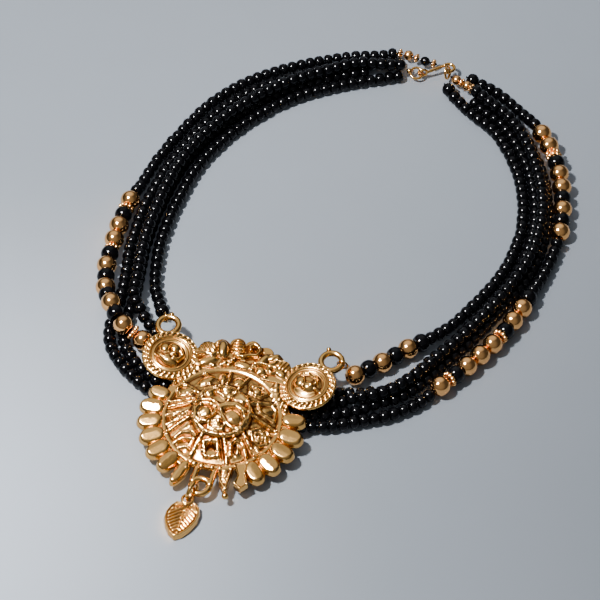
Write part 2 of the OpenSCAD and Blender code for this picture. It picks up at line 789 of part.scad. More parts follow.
module outer_left_string() {
    string(outer_left, [clasp_left_group, left_group]);
}
module second_left_string() {
    string(second_left);
}
module third_left_string() {
    string(third_left);
}
module top_left_string() {
    string(top_left);
}
module inner_left_string() {
    string(inner_left, [left_last_group]);
}
module outer_right_string() {
    string(outer_right, [clasp_outer_group, upper_group, lower_group]);
}
module second_right_string() {
    string(second_right);
}
module third_right_string() {
    string(third_right);
}
module top_right_string() {
    string(top_right, [clasp_top_group]);
}
module inner_right_string() {
    string(inner_right, [clasp_inner_group, inner_group]);
}
module left_gold_1() {
    color("gold")
        on_string(outer_left, left_group, 0)
            bead("g");
}
module left_gold_2() {
    color("gold")
        on_string(outer_left, left_group, 3)
            bead("g");
}
module left_gold_3() {
    color("gold")
        on_string(outer_left, left_group, 4)
            bead("g");
}
module left_gold_4() {
    color("gold")
        on_string(outer_left, left_group, 7)
            bead("g");
}
module left_gold_5() {
    color("gold")
        on_string(outer_left, left_group, 9)
            bead("g");
}
module left_gold_6() {
    color("gold")
        on_string(outer_left, left_group, 11)
            bead("g");
}
module left_gold_7() {
    color("gold")
        on_string(outer_left, left_group, 13)
            bead("g");
}
module left_gold_8() {
    color("gold")
        on_string(outer_left, left_group, 15)
            bead("g");
}
module upper_gold_1() {
    color("gold")
        on_string(outer_right, upper_group, 0)
            bead("g");
}
module upper_gold_2() {
    color("gold")
        on_string(outer_right, upper_group, 1)
            bead("g");
}
module upper_gold_3() {
    color("gold")
        on_string(outer_right, upper_group, 4)
            bead("g");
}
module upper_gold_4() {
    color("gold")
        on_string(outer_right, upper_group, 5)
            bead("g");
}
module upper_gold_5() {
    color("gold")
        on_string(outer_right, upper_group, 7)
            bead("g");
}
module upper_gold_6() {
    color("gold")
        on_string(outer_right, upper_group, 9)
            bead("g");
}
module lower_gold_1() {
    color("gold")
        on_string(outer_right, lower_group, 1)
            bead("g");
}
module lower_gold_2() {
    color("gold")
        on_string(outer_right, lower_group, 2)
            bead("g");
}
module lower_gold_3() {
    color("gold")
        on_string(outer_right, lower_group, 5)
            bead("g");
}
module lower_gold_4() {
    color("gold")
        on_string(outer_right, lower_group, 6)
            bead("g");
}
module lower_gold_5() {
    color("gold")
        on_string(outer_right, lower_group, 7)
            bead("g");
}
module lower_gold_6() {
    color("gold")
        on_string(outer_right, lower_group, 10)
            bead("g");
}
module inner_gold_1() {
    color("gold")
        on_string(inner_right, inner_group, 1)
            bead("g");
}
module inner_gold_2() {
    color("gold")
        on_string(inner_right, inner_group, 3)
            bead("g");
}
module inner_gold_3() {
    color("gold")
        on_string(inner_right, inner_group, 5)
            bead("g");
}
module left_black_beads() {
    color("#16161a")
        group_beads(outer_left, left_group, "k");
}
module upper_black_beads() {
    color("#16161a")
        group_beads(outer_right, upper_group, "k");
}
module lower_black_beads() {
    color("#16161a")
        group_beads(outer_right, lower_group, "k");
}
module inner_black_beads() {
    color("#16161a")
        group_beads(inner_right, inner_group, "k");
}
module left_loop_bead() {
    color("#16161a")
        group_beads(inner_left, left_last_group, "c");
}
module clasp_black_beads() {
    color("#16161a") {
        group_beads(outer_left, clasp_left_group, "m");
        group_beads(outer_right, clasp_outer_group, "c");
        group_beads(inner_right, clasp_inner_group, "c");
    }
}
module left_spacers() {
    color("goldenrod")
        group_beads(outer_left, left_group, "fs");
}
module upper_spacer() {
    color("goldenrod")
        group_beads(outer_right, upper_group, "w");
}
module lower_spacers() {
    color("goldenrod")
        group_beads(outer_right, lower_group, "f");
}
module clasp_left_gold() {
    color("gold")
        group_beads(outer_left, clasp_left_group, "nb");
}
module clasp_right_gold() {
    color("gold")
        group_beads(top_right, clasp_top_group, "nb");
}

pendant();
leaf_drop();
drop_ring();
left_link();
right_link();
outer_left_string();
second_left_string();
third_left_string();
top_left_string();
inner_left_string();
outer_right_string();
second_right_string();
third_right_string();
top_right_string();
inner_right_string();
left_gold_1();
left_gold_2();
left_gold_3();
left_gold_4();
left_gold_5();
left_gold_6();
left_gold_7();
left_gold_8();
upper_gold_1();
upper_gold_2();
upper_gold_3();
upper_gold_4();
upper_gold_5();
upper_gold_6();
lower_gold_1();
lower_gold_2();
lower_gold_3();
lower_gold_4();
lower_gold_5();
lower_gold_6();
inner_gold_1();
inner_gold_2();
inner_gold_3();
left_black_beads();
upper_black_beads();
lower_black_beads();
inner_black_beads();
clasp_black_beads();
left_loop_bead();
left_spacers();
upper_spacer();
lower_spacers();
clasp_left_gold();
clasp_right_gold();
left_ring();
hook();
right_ring();
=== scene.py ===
import math

import bpy
import numpy as np
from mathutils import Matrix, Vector


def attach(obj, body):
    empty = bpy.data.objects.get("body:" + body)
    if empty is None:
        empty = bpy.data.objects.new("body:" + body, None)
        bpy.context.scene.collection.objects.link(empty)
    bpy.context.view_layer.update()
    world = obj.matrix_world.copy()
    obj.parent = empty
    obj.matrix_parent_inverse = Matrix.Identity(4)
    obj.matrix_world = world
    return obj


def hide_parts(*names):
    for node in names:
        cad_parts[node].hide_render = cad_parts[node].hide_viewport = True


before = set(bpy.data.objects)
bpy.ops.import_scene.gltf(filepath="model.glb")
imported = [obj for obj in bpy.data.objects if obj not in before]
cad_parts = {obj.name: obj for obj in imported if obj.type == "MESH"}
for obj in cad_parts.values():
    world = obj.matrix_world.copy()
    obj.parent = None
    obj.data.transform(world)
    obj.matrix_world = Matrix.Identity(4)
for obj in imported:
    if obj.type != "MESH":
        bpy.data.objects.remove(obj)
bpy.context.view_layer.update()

mm = 0.001
tiny = 1e-9  # keeps the frame of an upright direction from dividing by zero
centreShift = np.array([-0.26, -0.3, 0.0])  # same shift in mm as in the solids

# Camera: it looks down at the necklace from the front, over a level floor.
# Target and distance are in mm, elevation in degrees, nearest in metres.
cameraSet = {
    "target": (-11.26, -8.3, 0.0), "elevation": 50.0, "distance": 773.0, "lens": 156.0,
    "sensor": 36.0, "nearest": 0.01,
}
camera = bpy.data.objects.new("camera", bpy.data.cameras.new("camera"))
bpy.context.scene.collection.objects.link(camera)
camera.data.lens = cameraSet["lens"]
camera.data.sensor_width = cameraSet["sensor"]
camera.data.clip_start = cameraSet["nearest"]
lean = math.radians(cameraSet["elevation"])
away = np.array([0.0, -math.cos(lean), math.sin(lean)]) * cameraSet["distance"]
camera.location = (np.array(cameraSet["target"]) + away) * mm
camera.rotation_euler = (math.pi / 2 - lean, 0.0, 0.0)
bpy.context.scene.camera = camera
print("camera set")


# Shader maths: Value wraps a socket, Finish holds one material's nodes
class Value:
    def __init__(self, finish, socket):
        self.finish = finish
        self.socket = socket

    def math(self, operation, other):
        node = self.finish.tree.nodes.new("ShaderNodeMath")
        node.operation = operation
        self.finish.feed(node.inputs[0], self)
        self.finish.feed(node.inputs[1], other)
        return Value(self.finish, node.outputs[0])

    def __add__(self, other):
        return self.math("ADD", other)

    def __rsub__(self, other):
        return self * -1.0 + other

    def __mul__(self, other):
        return self.math("MULTIPLY", other)

    # eases from 0 at low to 1 at high
    def between(self, low, high):
        node = self.finish.add(
            "ShaderNodeMapRange",
            {"interpolation_type": "SMOOTHSTEP"},
            {"Value": self, "From Min": low, "From Max": high},
        )
        return Value(self.finish, node.outputs["Result"])


class Finish:
    def __init__(self, tree):
        self.tree = tree
        tree.nodes.clear()

    def feed(self, socket, item):
        if isinstance(item, Value):
            self.tree.links.new(item.socket, socket)
        elif isinstance(item, bpy.types.NodeSocket):
            self.tree.links.new(item, socket)
        else:
            socket.default_value = item

    def add(self, kind, settings=None, sockets=None):
        node = self.tree.nodes.new(kind)
        for name, value in (settings or {}).items():
            setattr(node, name, value)
        for name, item in (sockets or {}).items():
            self.feed(node.inputs[name], item)
        return node

    def noise(self, place, scale, detail=2.0):
        node = self.add(
            "ShaderNodeTexNoise", None, {"Vector": place, "Scale": scale, "Detail": detail}
        )
        return Value(self, node.outputs["Fac"])

    # a colour between two; the Mix node takes colours in 6 and 7, and gives 2
    def blend(self, factor, first, second):
        colours = {0: factor, 6: first, 7: second}
        return self.add("ShaderNodeMix", {"data_type": "RGBA"}, colours).outputs[2]

    def bump(self, height, strength, distance):
        sockets = {"Height": height, "Strength": strength, "Distance": distance}
        return self.add("ShaderNodeBump", None, sockets).outputs[0]

    # one number from two vectors
    def vectors(self, operation, first, second):
        node = self.add("ShaderNodeVectorMath", {"operation": operation}, {0: first, 1: second})
        return Value(self, node.outputs["Value"])

    def place(self):
        return self.add("ShaderNodeTexCoord").outputs["Object"]

    def mark(self):
        node = self.add("ShaderNodeAttribute", {"attribute_name": "mark"})
        return Value(self, node.outputs["Fac"])

    # the last step: a Principled surface joined to the output
    def surface(self, sockets):
        body = self.add("ShaderNodeBsdfPrincipled", None, sockets)
        self.add("ShaderNodeOutputMaterial", None, {"Surface": body.outputs[0]})


def newFinish(name):
    material = bpy.data.materials.new(name)
    material.use_nodes = True
    return material, Finish(material.node_tree)


# Pile gathers closed surfaces in mm that become one piece; mark is a number at each point that the finishes
# read as roughness, as wear and, on cast plates, as painted shade in the hollows
class Pile:
    def __init__(self):
        self.points = []
        self.faces = []
        self.marks = []
        self.count = 0

    def add(self, points, faces, marks=None):
        self.points.append(points)
        self.faces += [(block + self.count).tolist() for block in faces]
        self.marks.append(np.zeros(len(points)) if marks is None else marks)
        self.count += len(points)

    def piece(self, name, material, slotName, *nodes):
        mesh = bpy.data.meshes.new(name)
        points = np.concatenate(self.points) * mm
        faces = [face for block in self.faces for face in block]
        mesh.from_pydata(points, [], faces)
        mesh.polygons.foreach_set("use_smooth", np.ones(len(faces), bool))
        mark = mesh.attributes.new("mark", "FLOAT", "POINT")
        mark.data.foreach_set("value", np.concatenate(self.marks).astype(np.float32))
        mesh.materials.append(material)
        mesh.update()
        thing = bpy.data.objects.new(name, mesh)
        bpy.context.scene.collection.objects.link(thing)
        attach(thing, "root")
        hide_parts(*nodes)
        print(name, len(faces), "faces")


# Quads between neighbouring rows of a grid whose columns run round;
# loop joins the last row to the first too
def gridFaces(rows, sides, loop=False):
    row = np.arange(rows if loop else rows - 1)[:, None] * sides
    after = (row + sides) % (rows * sides)
    side = np.arange(sides)[None, :]
    beside = (side + 1) % sides
    quads = np.stack([row + side, row + beside, after + beside, after + side], axis=-1)
    return quads.reshape(-1, 4)


# Directions of length 1
def unit(vectors):
    return vectors / np.linalg.norm(vectors, axis=-1, keepdims=True)


# Distance run at each point of a route
def runOf(route):
    return np.concatenate([[0.0], np.cumsum(np.linalg.norm(np.diff(route, axis=0), axis=1))])


# Points of the straight-sided route at the given distances
def onRoute(route, distances):
    run = runOf(route)
    return np.stack([np.interp(distances, run, route[:, k]) for k in range(3)], axis=-1)


# Points of the smooth curve through the route: cubic between neighbours,
# with the slope at each point taken from the points on either side
def onCurve(route, distances):
    run = runOf(route)
    slope = np.gradient(route, run, axis=0)
    part = np.clip(np.searchsorted(run, distances, side="right") - 1, 0, len(route) - 2)
    span = (run[part + 1] - run[part])[:, None]
    t = (np.asarray(distances)[:, None] - run[part][:, None]) / span
    return (
        (2 * t**3 - 3 * t**2 + 1) * route[part]
        + (t**3 - 2 * t**2 + t) * span * slope[part]
        + (3 * t**2 - 2 * t**3) * route[part + 1]
        + (t**3 - t**2) * span * slope[part + 1]
    )


# A profile of (radius, height) rows turned about z: each row becomes a circle
# of its radius at its height. loop closes it through its bore, otherwise its
# first and last rows are poles on the axis.
def turned(profile, sides, loop=True):
    angle = np.arange(sides) / sides * 2 * math.pi
    r, z = np.array(profile).T[:, :, None]
    level = np.repeat(z, sides, axis=1)
    grid = np.stack([r * np.cos(angle), r * np.sin(angle), level], axis=-1)
    if loop:
        return grid.reshape(-1, 3), [gridFaces(len(r), sides, True)]
    rows = len(r) - 2
    poles = [[0, 0, z[0, 0]], [0, 0, z[-1, 0]]]
    points = np.concatenate([grid[1:-1].reshape(-1, 3), poles])
    return points, [gridFaces(rows, sides)] + poleFaces(rows, sides)


# Fans that close the first and last rows of a grid with the two points
# that follow it
def poleFaces(rows, sides):
    side = np.arange(sides)
    after = (side + 1) % sides
    first = np.stack([np.full(sides, rows * sides), after, side], axis=-1)
    last = (rows - 1) * sides
    end = np.stack([np.full(sides, rows * sides + 1), last + side, last + after], axis=-1)
    return [first, end]


# A turning matrix for each direction, as rows: two axes square to it, turned
# about it by spin, then the direction itself
def framesFor(directions, spin):
    ahead = unit(np.atleast_2d(directions))
    flat = unit(np.cross(ahead, [0.0, 0.0, 1.0]) + tiny)
    rise = np.cross(flat, ahead)
    cosine, sine = np.cos(spin)[:, None], np.sin(spin)[:, None]
    return np.stack([flat * cosine + rise * sine, rise * cosine - flat * sine, ahead], axis=1)


# Copies of one shape, each scaled, turned with its z along a direction, and
# moved to its place
def copies(pile, shape, places, directions, scale, spin=None, marks=None):
    points, faces = shape
    count = len(places)
    frames = framesFor(directions, np.zeros(count) if spin is None else spin)
    put = (points[None] * scale[:, None]) @ frames + places[:, None]
    offset = np.arange(count)[:, None, None] * len(points)
    blocks = [(block[None] + offset).reshape(-1, block.shape[1]) for block in faces]
    values = None if marks is None else np.repeat(marks, len(points))
    pile.add(put.reshape(-1, 3), blocks, values)


# A closed round tube: a circle square to the path at each of its points, and
# a pole at each end
def tubeShape(path, radius, sides):
    frames = framesFor(np.gradient(path, axis=0), np.zeros(len(path)))
    angle = np.arange(sides) / sides * 2 * math.pi
    ring = np.cos(angle)[None, :, None] * frames[:, None, 0]
    ring = ring + np.sin(angle)[None, :, None] * frames[:, None, 1]
    grid = (path[:, None] + ring * radius).reshape(-1, 3)
    points = np.concatenate([grid, path[:1], path[-1:]])
    return points, [gridFaces(len(path), sides)] + poleFaces(len(path), sides)


fineDetail = 3.0  # of the noises for wear and brushing

# Black glass: nearly black, its shine a little broken from bead to bead.
# Scales are per metre, ripple's depth in metres.
glassSet = {
    "deep": (0.001, 0.001, 0.0015, 1), "pale": (0.003, 0.003, 0.004, 1),
    "cloudScale": 900.0, "wearScale": 2600.0, "wear": 0.06, "perBead": 0.05,
    "rippleScale": 1400.0, "ripple": 0.05, "rippleDepth": 0.0003, "index": 1.45,
    "mirror": 0.2,
}


def blackGlass(name, rough):
    material, finish = newFinish(name)
    place = finish.place()
    cloud = finish.noise(place, glassSet["cloudScale"])
    wear = finish.noise(place, glassSet["wearScale"], fineDetail) * glassSet["wear"]
    ripple = finish.noise(place, glassSet["rippleScale"])
    finish.surface(
        {
            "Base Color": finish.blend(cloud, glassSet["deep"], glassSet["pale"]),
            "Roughness": finish.mark() * glassSet["perBead"] + wear + rough,
            "Normal": finish.bump(ripple, glassSet["ripple"], glassSet["rippleDepth"]),
            "IOR": glassSet["index"],
            "Specular IOR Level": glassSet["mirror"],
        }
    )
    return material


# Gold plate: warm metal, painted browner and duller where the mark is high, which is painted shade in the
# hollows of cast plates and wear on beads, with fine brushing and soft unevenness as bump. Cast parts are
# deeper in colour than beads.
goldSet = {
    "cast": {
        "bright": (0.76, 0.44, 0.14, 1),
        "warm": (0.64, 0.325, 0.08, 1),
        # dark brown for painted shade in the hollows of cast plates, and for wear
        "wearAndShade": (0.045, 0.012, 0.002, 1),
    },
    "bead": {
        "bright": (1.0, 0.54, 0.2, 1),
        "warm": (1.0, 0.485, 0.155, 1),
        "wearAndShade": (0.06, 0.017, 0.003, 1),
    },
    "tintScale": 300.0,
    "wear": 0.08,
    "hollowWear": 0.25,
    "bump": 0.5,
}


# scale is the brushing's, per metre, and height its depth in mm
def goldPlate(name, kind, rough, scale, height):
    material, finish = newFinish(name)
    place = finish.place()
    looks = goldSet[kind]
    tint = finish.noise(place, goldSet["tintScale"])
    colour = finish.blend(tint, looks["warm"], looks["bright"])
    wearAndShade = finish.mark()
    wear = finish.noise(place, scale * 2.0, fineDetail) * goldSet["wear"]
    brushing = finish.noise(place, scale, fineDetail)
    finish.surface(
        {
            # the mark paints shade into the hollows of cast plates, and darker wear onto beads
            "Base Color": finish.blend(wearAndShade, colour, looks["wearAndShade"]),
            "Metallic": 1.0,
            "Roughness": wear + wearAndShade * goldSet["hollowWear"] + rough,
            "Normal": finish.bump(brushing, goldSet["bump"], height * mm),
        }
    )
    return material


seedGlass = blackGlass("seed glass", 0.05)
beadGlass = blackGlass("bead glass", 0.02)
satinGold = goldPlate("satin gold", "bead", 0.06, 2400.0, 0.01)
grainGold = goldPlate("granule gold", "bead", 0.12, 2400.0, 0.02)
castGold = goldPlate("cast gold", "cast", 0.11, 1500.0, 0.04)
wireGold = goldPlate("wire gold", "cast", 0.1, 2400.0, 0.02)
print("finishes made")

# Strings: routes of their threads in mm, from the clasp to the pendant
floorZ = 1.77
goldZ = 3.05
topZ = 5.0
overZ = 5.6
leftArc = [  # the top string lies on the third one here
    (-11.5, 79.2), (-20, 74.6), (-28.5, 68), (-36, 60.8), (-42.3, 52.8), (-47.8, 43.4),
    (-51.8, 33.4), (-54.8, 23.5), (-57.2, 13.6), (-58.6, 4.3), (-59.4, -4.4),
]
threads = {
    "outerLeft": [
        (32.8, 88.3, 2.6), (28.8, 89.9, 2.6), (23.6, 92.6, 2.6), (20.5, 93.8, 2.3), (17, 93.2),
        (8.5, 92.6), (-0.5, 91.3), (-9.5, 89), (-18, 86), (-26.5, 81.8), (-34.5, 75.9), (-41, 69.3),
        (-46.8, 61.2), (-51.8, 53.2), (-56.3, 45), (-59.5, 37.2), (-61.2, 33.2, 2.8), (-63, 29, goldZ),
        (-65.4, 21, goldZ), (-67.3, 12, goldZ), (-68.8, 3.5, goldZ), (-68.8, -5.5, 3.6), (-68, -10, 5),
        (-66.5, -14.5, 6.7), (-65.2, -18.5, 6.9), (-62.8, -22.6, 6.5), (-57.4, -25.6, 3.4),
        (-52.8, -29.4), (-46.5, -35.4), (-38.5, -40.4), (-30, -44.1),
    ],
    "secondLeft": [
        (22, 89, 2.4), (17, 89.5), (8.5, 88.9), (-0.5, 87.4), (-8.5, 84.8), (-16.5, 81.8), (-24.5, 78),
        (-31.8, 72.6), (-37.8, 66.6), (-43.4, 58.8), (-48.2, 51), (-52.4, 43.2), (-55.6, 35.3),
        (-58.4, 27.8), (-60.4, 19.8), (-62.1, 11), (-62.8, 3), (-63.7, -6), (-65.2, -14), (-66.9, -21),
        (-66.2, -27.2), (-62.6, -34.4), (-57, -41), (-48.5, -48.2), (-40, -52.5), (-30.5, -55),
    ],
    "thirdLeft": [
        (10.8, 85.5), (8, 85.1), (-2, 82.5), *leftArc, (-60.8, -12.4), (-62.4, -19), (-62.4, -25.4),
        (-59.8, -31.8), (-54, -38.6), (-46, -44.4), (-38, -48.2), (-29.5, -50.9),
    ],
    "topLeft": [
        (22.5, 85.9, 4.9), (15.5, 85.4, 5.4), (8, 86.2, 5.5), (-2, 82.9, overZ),
        *[(x, y, overZ) for x, y in leftArc], (-60, -10.5, 5.4), (-57.8, -15.5, 4.3),
        (-54.8, -20.4, 2.6), (-51.2, -24.6), (-44.5, -31), (-36.5, -36.2), (-28, -40.2),
    ],
    "innerLeft": [
        (21.8, 84), (17, 83), (8, 81.2), (-1, 78.7), (-10, 75.4), (-18, 71), (-26, 64.8), (-33, 57.9),
        (-39, 50.4), (-44, 41.5), (-47.8, 32), (-50.8, 22.5), (-53, 13), (-54, 4), (-54, -4),
        (-52.8, -10.4), (-51.6, -14.6, 2.8), (-50.9, -17, 4.2),
    ],
    "outerRight": [
        (42, 82.6, 2.6), (46.8, 79.9), (52.8, 74.8), (58.8, 67.3), (62.8, 61, 3), (65, 56.4, goldZ),
        (67, 50.6, goldZ), (68.8, 42.5, goldZ), (69.4, 33.5, goldZ), (68.9, 24, goldZ),
        (67.4, 14.7, goldZ), (65.6, 9.4, 2.2), (61.2, -1.2, 2.2), (57.2, -8.4, 2.8),
        (54.6, -13.6, goldZ), (49.4, -22.2, goldZ), (44.2, -28.6, goldZ), (36.6, -36.4, goldZ),
        (28.8, -43.4, goldZ), (24.8, -46.8), (20.8, -49.6), (13, -53), (5, -54.9), (-3, -56.5),
        (-12, -56.6), (-21, -56.2), (-30.1, -55),
    ],
    "secondRight": [
        (46.5, 75.3), (49.4, 71.5), (55.6, 64.4), (60.4, 53.6), (63.3, 43.4), (64.6, 33.3),
        (64.3, 22.3), (61.8, 10.6), (57.7, 0.3), (52, -8.6), (46, -16.8), (38.7, -26), (30.3, -34.9),
        (23.4, -42), (17.3, -46.3), (10.5, -48.8), (5, -51.2), (-1, -52.4), (-11, -52.5), (-20, -52.3),
        (-29.1, -50.9),
    ],
    "thirdRight": [
        (43.5, 72.9), (46.2, 69.1), (52.4, 62.2), (57, 52.4), (59.7, 42.7), (60.9, 33.2), (60.6, 22.5),
        (58.2, 11.4), (54.3, 1.9), (49, -6.6), (43.1, -14.5), (36.2, -23.2), (27.6, -32.3),
        (20.6, -39.4), (12.8, -44.1), (5, -44.8), (-3, -44.7), (-11, -44.6), (-19, -43.1),
        (-27.6, -40.2),
    ],
    "topRight": [
        (37.2, 82, 3.2), (41.7, 77.9, 3.6), (43.5, 75.8, 4.2), (45.2, 73.4, topZ), (48, 69.9, topZ),
        (54, 63.2, topZ), (58.8, 53, topZ), (61.6, 43, topZ), (62.8, 33.3, topZ), (62.5, 22.4, topZ),
        (60, 11, topZ), (56, 1.1, topZ), (50.6, -7.6, topZ), (44.6, -15.8, topZ), (37.5, -24.6, topZ),
        (28.9, -33.7, topZ), (22, -40.6, 5.2), (15.8, -45.4, 5.3), (10, -47.8, 5.3), (5, -48, 4.4),
        (1, -48.4, 2.5), (-2, -48.6), (-11, -48.5), (-20, -47), (-29.6, -44.1),
    ],
    "innerRight": [
        (35, 79.6, 2.6), (38, 74.3), (43.3, 66.8), (49.3, 60.2), (53.6, 51), (56.1, 42), (57.2, 33),
        (57, 23), (54.6, 12.5), (51, 3.5), (46, -4.5), (40.3, -11.9), (33.5, -19.5), (26, -25.7, 2.8),
        (20, -29.4, goldZ), (12.4, -34.6, goldZ), (4.4, -39.2, goldZ), (2.6, -40, goldZ),
    ],
}


# A route as rows of x, y, z; a point without a height lies on the floor
def asRoute(points):
    return np.array([(*point, floorZ)[:3] for point in points], float) + centreShift


routes = {name: asRoute(points) for name, points in threads.items()}

# Bead kinds in mm: g gold, k and c black, f, w and s gold granules, b, m and n
# the clasp's small beads, - a bare gap. Round ones have a grid of (steps,
# sides), are cut off just short of their length and go in at the bore by bevel.
beadSet = {
    "bore": 1.7, "gap": 0.15, "rowGap": 0.3, "cut": 0.985, "bevel": 0.12,
    "spread": 0.01, "wear": 0.08, "grid": (13, 32),
    "kinds": {
        "g": {"across": 6.0, "length": 5.5, "grid": (21, 48)},
        "k": {"across": 5.4, "length": 3.4},
        "c": {"across": 4.3, "length": 3.4},
        "f": {"across": 5.2, "length": 1.5, "count": 10, "rows": 1},
        "w": {"across": 5.2, "length": 2.7, "count": 9, "rows": 2},
        "s": {"across": 4.68, "length": 1.2, "count": 10, "rows": 1},
        "b": {"across": 3.2, "length": 2.6},
        "m": {"across": 3.1, "length": 2.8},
        "n": {"across": 3.2, "length": 1.5, "count": 6, "rows": 1},
        "-": {"across": 0.0, "length": 0.5},
    },
}

# Groups as (string, distance along it, kinds in a row)
groups = {
    "claspLeft": ("outerLeft", 0.3, "n-m-n-b-n"),
    "left": ("outerLeft", 124.8, "gfkggskgkgkgkgfg"),
    "leftLast": ("innerLeft", 138.4, "c"),
    "claspOuter": ("outerRight", 0.6, "c"),
    "upper": ("outerRight", 32.0, "ggwkggkgkg"),
    "lower": ("outerRight", 103.2, "kggkfgggkfg"),
    "claspTop": ("topRight", 0.9, "bnbn"),
    "claspInner": ("innerRight", 0.9, "c"),
    "inner": ("innerRight", 122.2, "kgkgkg"),
}


# Middles and lengths of a group's beads along their string, and its far end
def beadPlaces(group):
    _, start, kinds = groups[group]
    lengths = np.array([beadSet["kinds"][k]["length"] for k in kinds])
    firsts = start + np.concatenate([[0.0], np.cumsum(lengths + beadSet["gap"])[:-1]])
    return firsts + lengths / 2, lengths, firsts[-1] + lengths[-1]


# Side profile of a drilled round bead: a circle cut off at both ends,
# closed through its bore
def beadProfile(across, length, steps):
    reach = math.asin(min(length / across, 1.0)) * beadSet["cut"]
    lift = np.linspace(-reach, reach, steps)
    r = across / 2 * np.cos(lift)
    z = across / 2 * np.sin(lift)
    bore, bevel = beadSet["bore"] / 2, beadSet["bevel"]
    return list(zip(r, z)) + [(bore, z[-1] - bevel), (bore, z[0] + bevel)]


# Granules in mm or as shares of the ball: balls lean and sit on a washer
granuleSet = {
    "profile": [(0, -0.5), (0.35, -0.35), (0.5, 0.0), (0.35, 0.35), (0, 0.5)],
    "sides": 8, "ball": 0.29, "rowStep": 0.95, "lean": (0.3, 0.0, 1.0), "washer": 0.36,
    "bore": 0.85, "swell": 0.1, "washerSides": 24,
}
smallBall = turned(granuleSet["profile"], granuleSet["sides"], False)


# Rows of small balls round a washer, each row set between the balls of the last
def granuleShape(across, length, count, rows):
    ball = across * granuleSet["ball"]
    middle = across / 2 - ball / 2
    half = length * granuleSet["washer"]
    bore = granuleSet["bore"]
    swollen = middle + granuleSet["swell"]
    pile = Pile()
    washer = [(bore, -half), (middle, -half), (swollen, 0), (middle, half), (bore, half)]
    pile.add(*turned(washer, granuleSet["washerSides"]))
    row = np.repeat(np.arange(rows), count)
    angle = np.arange(count * rows) / count * 2 * math.pi + row * math.pi / count
    lift = (row - (rows - 1) / 2) * ball * granuleSet["rowStep"]
    places = np.stack([middle * np.cos(angle), middle * np.sin(angle), lift], axis=-1)
    lean = np.tile(granuleSet["lean"], (len(places), 1))
    copies(pile, smallBall, places, lean, np.full((len(places), 3), ball))
    blocks = [np.array(block) for block in pile.faces]
    quads = np.concatenate([block for block in blocks if block.shape[1] == 4])
    tris = np.concatenate([block for block in blocks if block.shape[1] == 3])
    return np.concatenate(pile.points), [quads, tris]


# Beads of the wanted kinds, set along their string as the solids are
def addBeads(pile, group, wanted, rng):
    string, _, kinds = groups[group]
    route = routes[string]
    middles, lengths, _ = beadPlaces(group)
    for kind in sorted(set(kinds) & set(wanted)):
        at = np.array([k == kind for k in kinds])
        looks = beadSet["kinds"][kind]
        if "count" in looks:
            shape = granuleShape(looks["across"], looks["length"], looks["count"], looks["rows"])
        else:
            steps, sides = looks.get("grid", beadSet["grid"])
            shape = turned(beadProfile(looks["across"], looks["length"], steps), sides)
        s, half = middles[at], lengths[at] / 2
        way = onRoute(route, s + half) - onRoute(route, s - half)
        spin = rng.uniform(0, 2 * math.pi, len(s))
        spread = rng.uniform(-beadSet["spread"], beadSet["spread"], (len(s), 1))
        gold = "count" in looks or kind in "gb"
        marks = rng.uniform(0, beadSet["wear"], len(s)) if gold else None
        copies(pile, shape, onRoute(route, s), way, 1 + spread * np.ones((1, 3)), spin, marks)


# Seed beads in mm: small barrels threaded close along each string. tilt,
# drift, size and lengthSpread say how much one bead differs from the next.
seedSet = {
    "pitch": 3.0, "across": 3.9, "length": 2.84, "hole": 1.4, "boreR": 0.5, "bevel": 0.1,
    "fullness": 0.7, "steps": 9, "sides": 14, "aimOver": 0.5, "tilt": 0.07,
    "drift": 0.05, "driftUp": 0.3, "size": 0.03, "lengthSpread": 0.02,
    "sizeLimits": (0.92, 1.03), "lowest": 1.86, "thread": 0.35, "threadSides": 6,
    "threadStep": 2.5, "shortestRow": 3.0,
}


# Rounded side of a seed bead from one hole to the other: the radius swells
# with a power of the cosine, the height follows the sine
def seedProfile():
    lift = np.linspace(-math.pi / 2, math.pi / 2, seedSet["steps"])
    low = seedSet["hole"] / 2
    r = low + (seedSet["across"] / 2 - low) * np.cos(lift) ** seedSet["fullness"]
    z = seedSet["length"] / 2 * np.sin(lift)
    bore, bevel = seedSet["boreR"], seedSet["bevel"]
    return list(zip(r, z)) + [(bore, z[-1] - bevel), (bore, z[0] + bevel)]


seedShape = turned(seedProfile(), seedSet["sides"])


# Stretches of a string between its groups of larger beads
def seedRows(string):
    taken = [
        (groups[group][1] - beadSet["rowGap"], beadPlaces(group)[2] + beadSet["rowGap"])
        for group in groups
        if groups[group][0] == string
    ]
    edges = [0.0] + [edge for pair in sorted(taken) for edge in pair] + [runOf(routes[string])[-1]]
    return [
        (low, high)
        for low, high in zip(edges[0::2], edges[1::2])
        if high - low > seedSet["shortestRow"]
    ]


